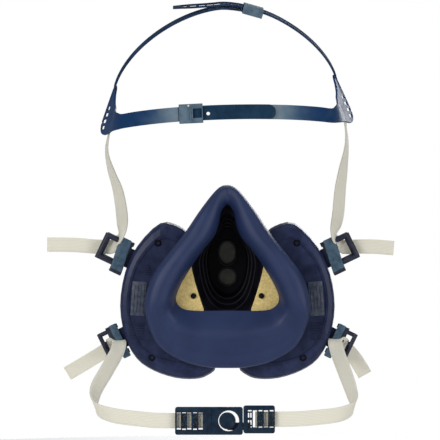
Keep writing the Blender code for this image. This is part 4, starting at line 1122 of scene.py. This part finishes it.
# %% Crown keeper
CROWN_KEEPER_SIZE = (0.0142, 0.0116, 0.0058)
CROWN_KEEPER_BORE = (0.030, 0.0103, 0.0045)
crown_turn = crown_axes(CROWN_KEEPER, CROWN_GAIN)
crown_middle = crown_point(CROWN_KEEPER, CROWN_GAIN / 2) + crown_turn @ Vector((0, 0, 0.0002))
crown_keeper = show("crown_keeper", cradle_block(CROWN_KEEPER_SIZE, crown_middle, crown_turn),
                    keeper_plastic, "headband")
cut(crown_keeper, cradle_block(CROWN_KEEPER_BORE, crown_middle, crown_turn))
round_edges(crown_keeper, 0.0003)
print("back keeper in mm:", [round(1000 * v, 1) for v in KEEPER_SIZE])

# %% [markdown]
# ## The neck clasp
# Two plates lock together with a disc in a ring. Each plate is a rounded slab with wide slots for
# the elastic and columns of small windows between them, which save plastic and grip the strap.

# %% Rounded slabs and their windows
CLASP_Y = -0.0700
CLASP_Z = -0.0944
CLASP_THICKNESS = 0.0026
CLASP_HEIGHT = 0.0192
SLOT_HEIGHT = 0.0118
SLOT_WIDTH = 0.0029


def rounded_slab(left, right, middle_z, radius):
    """A slab in the clasp's plane with rounded corners."""
    low, high = middle_z - CLASP_HEIGHT / 2, middle_z + CLASP_HEIGHT / 2
    outline = []
    for x, z, turn in ((right, high, 0), (left, high, 1), (left, low, 2), (right, low, 3)):
        inner_x = x - math.copysign(radius, x - (left + right) / 2)
        inner_z = z - math.copysign(radius, z - middle_z)
        for k in range(6):
            a = math.pi / 2 * (turn + k / 5)
            outline.append((inner_x + radius * math.cos(a), inner_z + radius * math.sin(a)))
    return skin([[(x, CLASP_Y + side * CLASP_THICKNESS / 2, z) for x, z in outline] for side in (-1, 1)])


def window(piece, width, height, x, z):
    cut(piece, block((width, 0.012, height), (x, CLASP_Y, z)))


def ladder(piece, x, z):
    """A column of windows: one low and wide at each end, two tall and narrow pairs between."""
    for up in (-1, 1):
        window(piece, 0.0026, 0.0010, x, z + up * 0.0056)
        for across in (-0.0008, 0.0008):
            window(piece, 0.0009, 0.0034, x + across, z + up * 0.0025)


# %% Ring plate
RING_X = 0.0006
ring_plate = show("clasp_ring", rounded_slab(-0.0365, 0.0104, CLASP_Z, 0.0016), clasp_plastic, "clasp",
                  ("clasp_ring_plate",))
cut(ring_plate, round_bar(0.0072, 0.012, (RING_X, CLASP_Y, CLASP_Z), (0, 1, 0), 48))
for x in (-0.0339, -0.0267, -0.0188):
    window(ring_plate, SLOT_WIDTH, SLOT_HEIGHT, x, CLASP_Z - 0.0002)
for x in (-0.0303, -0.0227):
    ladder(ring_plate, x, CLASP_Z - 0.0002)
round_edges(ring_plate, 0.0003)
ridge = block((0.0022, 0.0012, 0.0176), (-0.0126, CLASP_Y - CLASP_THICKNESS / 2, CLASP_Z))
show("clasp_ridge", ridge, clasp_plastic, "clasp")

# %% Hook plate and its disc
hook_z = CLASP_Z + 0.0010
lift = CLASP_THICKNESS + 0.0004
hook_plate = show("clasp_hook", rounded_slab(0.0108, 0.0326, hook_z, 0.0016), clasp_plastic, "clasp_hook",
                  ("clasp_hook_plate",))
for x in (0.0188, 0.0264):
    window(hook_plate, SLOT_WIDTH, SLOT_HEIGHT, x, hook_z + 0.0004)
for x in (0.0152, 0.0226, 0.0303):
    ladder(hook_plate, x, hook_z + 0.0004)
round_edges(hook_plate, 0.0003)
DISC_X = -0.0003
DISC_RADIUS = 0.0058
HOLLOW_RADIUS = 0.0044
TONGUE_Z = CLASP_Z - 0.0040
disc_middle = (DISC_X, CLASP_Y + lift / 2 - CLASP_THICKNESS / 4, CLASP_Z)
disc = round_bar(DISC_RADIUS, lift + CLASP_THICKNESS / 2, disc_middle, (0, 1, 0), 48)
clasp_disc = show("clasp_disc", disc, clasp_plastic, "clasp_hook")
cut(clasp_disc, round_bar(HOLLOW_RADIUS, 0.0012, (DISC_X, CLASP_Y - 0.0013, CLASP_Z), (0, 1, 0), 48))
round_edges(clasp_disc, 0.0004)
tongue = block((0.0161, CLASP_THICKNESS, 0.0052), (0.0078, CLASP_Y + lift, TONGUE_Z))
show("clasp_tongue", tongue, clasp_plastic, "clasp_hook")
step = block((0.0042, lift, 0.0048), (0.0133, CLASP_Y + lift / 2, TONGUE_Z))
show("clasp_step", step, clasp_plastic, "clasp_hook")
print("clasp: ring plate, hook plate, disc, tongue and step")

# %% [markdown]
# ## Buckle caps and loops
# Each buckle turns on a bar of the housing. A cap hides the bar from the wearer's side, and a
# loop with round bars holds the elastic. Cap and loop are one plastic: the cap's light teal is a
# painted sheen and the loop's dark tone is painted shade. All are made in the buckle's own frame,
# whose Z runs along the bar, and then turned into place, so one recipe serves all four.

# %% Buckle frame
BUCKLES = {  # share of the half width, share of the height, lean, reach of the loop, radius of its bars
    "upper": (-0.9740, 0.1320, math.radians(25.5), 0.0180, 0.0021),
    "lower": (-1.0200, -0.3050, math.radians(-26.0), 0.0125, 0.0016),
}
BUCKLE_Y = 0.0260
CAP_HALF = 0.0123
CAP_SLANT = 0.13


def buckle_turn(row, side):
    x, z, lean = BUCKLES[row][:3]
    spin = Matrix.Rotation(-lean, 4, "Y")
    if side < 0:
        spin = Matrix.Rotation(math.pi, 4, "Z") @ spin
    return Matrix.Translation((-side * x * HALF_WIDTH, BUCKLE_Y, z * HEIGHT)) @ spin


def slanted(mesh):
    """Leans a cap away from the housing towards its top, so that it can swing without touching."""
    for vert in mesh.verts:
        vert.co.x += CAP_SLANT * (vert.co.z + CAP_HALF)
    return mesh


def buckle_piece(name, mesh, row, side, finish, rounding=0.0005):
    """A mesh in the buckle's frame, with y counted towards the wearer, moved into place."""
    flip = Matrix.Diagonal((1, -side, 1, 1))
    mesh.transform(buckle_turn(row, side) @ flip)
    side_name = "left" if side < 0 else "right"
    piece = show(f"{row}_{name}_{side_name}", mesh, finish, f"{row}_clip_{side_name}")
    round_edges(piece, rounding, 3)
    return piece


# %% Caps and loops
LOOP_LENGTH = 0.0200
LOOP_Y = 0.0028
ARM_FROM = 0.0030
CAP_X, CAP_Y = 0.0006, 0.0050


def loop_bars(row, side):
    """Three round bars: the outer end and both arms."""
    reach, radius = BUCKLES[row][3:]
    end = round_bar(radius, LOOP_LENGTH, (reach - 0.0010, LOOP_Y + 0.0002, 0.0002), (0, 0, 1), 20)
    buckle_piece("loop_end", end, row, side, buckle_painted_shade)
    for part, z in (("high", 0.0088), ("low", -0.0078)):
        middle = ((reach + ARM_FROM) / 2, LOOP_Y, z)
        arm = round_bar(radius, reach - ARM_FROM, middle, (1, 0, 0), 20)
        buckle_piece(f"loop_{part}", arm, row, side, buckle_painted_shade)


for side in (-1, 1):
    # Caps and their ribs take the painted-sheen tone; feet and loop bars take the painted-shade tone.
    cap = slanted(block((0.0092, 0.0022, 2 * CAP_HALF), (CAP_X, CAP_Y, 0.0)))
    buckle_piece("cap", cap, "upper", side, buckle_plastic, 0.0008)
    for k in range(3):
        rib = slanted(block((0.0078, 0.0008, 0.0008), (CAP_X, CAP_Y + 0.0012, -0.0076 + 0.0022 * k)))
        buckle_piece(f"cap_rib_{k}", rib, "upper", side, buckle_plastic, 0.0003)
    foot = block((0.0094, 0.0030, 0.0030), (0.0008, 0.0046, -0.0128))
    buckle_piece("cap_foot", foot, "upper", side, buckle_painted_shade, 0.0006)
    blade = block((0.0056, 0.0022, 0.0262), (-0.0002, 0.0046, -0.0010))
    buckle_piece("cap", blade, "lower", side, buckle_plastic, 0.0008)
    for row in BUCKLES:
        loop_bars(row, side)
print("buckles: a cap and three loop bars each, with ribs on the upper caps")

# %% [markdown]
# ## Moulded details of the housings
# The rear of each housing is nearly flat. It has a satin patch near its outer edge, a smoother area
# whose light grey-blue tone is painted sheen, ribs for stiffness, two small ejector dimples and a thin
# raised line that follows its outline. They are small raised solids that overlap the wall, which is
# simpler and cleaner than cutting the wall itself.

# %% Housing outline and raised line
HOUSING_EDGE = [
    (-0.632, 0.3020), (-0.845, 0.1850), (-0.964, 0.0450), (-1.010, -0.1300), (-0.962, -0.2900),
    (-0.852, -0.4040), (-0.690, -0.4670), (-0.485, -0.5040), (-0.300, -0.5090), (-0.185, -0.4900),
    (-0.105, -0.4400), (-0.160, -0.3000), (-0.240, -0.1650), (-0.330, -0.0500), (-0.385, 0.0600),
    (-0.392, 0.1600), (-0.368, 0.2420), (-0.455, 0.2880),
]
HOUSING_HEART = (-0.62, -0.09)
HOUSING_REAR_Y = 0.0155


def housing_line(share, side):
    """The housing's outline at a share of the way in towards its heart, as (x, z)."""
    points = [(x * HALF_WIDTH, z * HEIGHT, 0) for x, z in HOUSING_EDGE]
    heart = Vector((HOUSING_HEART[0] * HALF_WIDTH, HOUSING_HEART[1] * HEIGHT, 0))
    inner = [point.lerp(heart, share) for point in smooth_curve(points, 6, closed=True)]
    return [(-side * point.x, point.y) for point in inner]


def raised_band(outline, y, half_width, height):
    """A low closed ridge along an outline on the housing's rear."""
    count = len(outline)
    rings = []
    for k, (x, z) in enumerate(outline):
        ahead = (Vector(outline[(k + 1) % count]) - Vector(outline[k - 1])).normalized()
        out = Vector((ahead.y, -ahead.x)) * half_width
        rings.append([(x - out.x, y + 0.0003, z - out.y), (x - out.x * 0.5, y - height, z - out.y * 0.5),
                      (x + out.x * 0.5, y - height, z + out.y * 0.5), (x + out.x, y + 0.0003, z + out.y)])
    return skin(rings, closed=True)


SIDES = (("left", -1), ("right", 1))
for side_name, side in SIDES:
    line = raised_band(housing_line(0.21, side), HOUSING_REAR_Y, 0.0005, 0.0003)
    show(f"housing_line_{side_name}", line, housing_plastic, "facepiece")


# %% Patch, ribs and dimples
PATCH_SIZE = (0.0105, 0.0008, 0.0250)
PATCH_RIB = (0.0006, 0.0007, 0.0200)
PATCH_X, PATCH_Z = 0.0645, -0.0125
PATCH_LEAN = math.radians(4)
RIB_ROWS = {  # x, lowest z, pitch, how many, length, how much shorter each next rib is
    "upper_rib": (0.0600, 0.0050, 0.0017, 5, 0.0105, 0.0008),
    "lower_rib": (0.0660, -0.0420, 0.0019, 7, 0.0110, 0.0),
}
DIMPLES = [(0.0505, 0.0279), (0.0550, -0.0555)]
DIMPLE_SECTION = [(0.0012, 0.0003), (0.0013, -0.0006), (0.0021, -0.0006), (0.0026, 0.0003)]


def housing_detail(name, mesh, side_name, finish):
    piece = show(f"{name}_{side_name}", mesh, finish, "facepiece")
    round_edges(piece, 0.0002)


def dimple_ring(x, z):
    """A low ring: its section goes out from the middle, and up off the housing's rear."""
    rings = []
    for k in range(24):
        a = 2 * math.pi * k / 24
        rings.append([(x + out * math.cos(a), HOUSING_REAR_Y + y, z + out * math.sin(a))
                      for out, y in DIMPLE_SECTION])
    return skin(rings, closed=True)


for side_name, side in SIDES:
    lean = Matrix.Rotation(-side * PATCH_LEAN, 3, "Y")
    # The patch and its ribs take the light satin tone, which is painted sheen on a smoother area.
    patch = block(PATCH_SIZE, (side * PATCH_X, HOUSING_REAR_Y, PATCH_Z), lean)
    housing_detail("patch", patch, side_name, housing_patch_painted_sheen)
    for k in range(4):
        x = side * (0.0610 + 0.0023 * k)
        rib = block(PATCH_RIB, (x, HOUSING_REAR_Y - 0.0004, PATCH_Z), lean)
        housing_detail(f"patch_rib_{k}", rib, side_name, housing_patch_painted_sheen)
    for row, (x, low_z, pitch, count, length, shorter) in RIB_ROWS.items():
        for k in range(count):
            size = (length - shorter * k, 0.0008, 0.0005)
            rib = block(size, (side * x, HOUSING_REAR_Y, low_z + pitch * k))
            housing_detail(f"{row}_{k}", rib, side_name, housing_plastic)
    for k, (x, z) in enumerate(DIMPLES):
        show(f"dimple_{k}_{side_name}", dimple_ring(side * x, z), frame_plastic, "facepiece")
print("housing details on both sides")
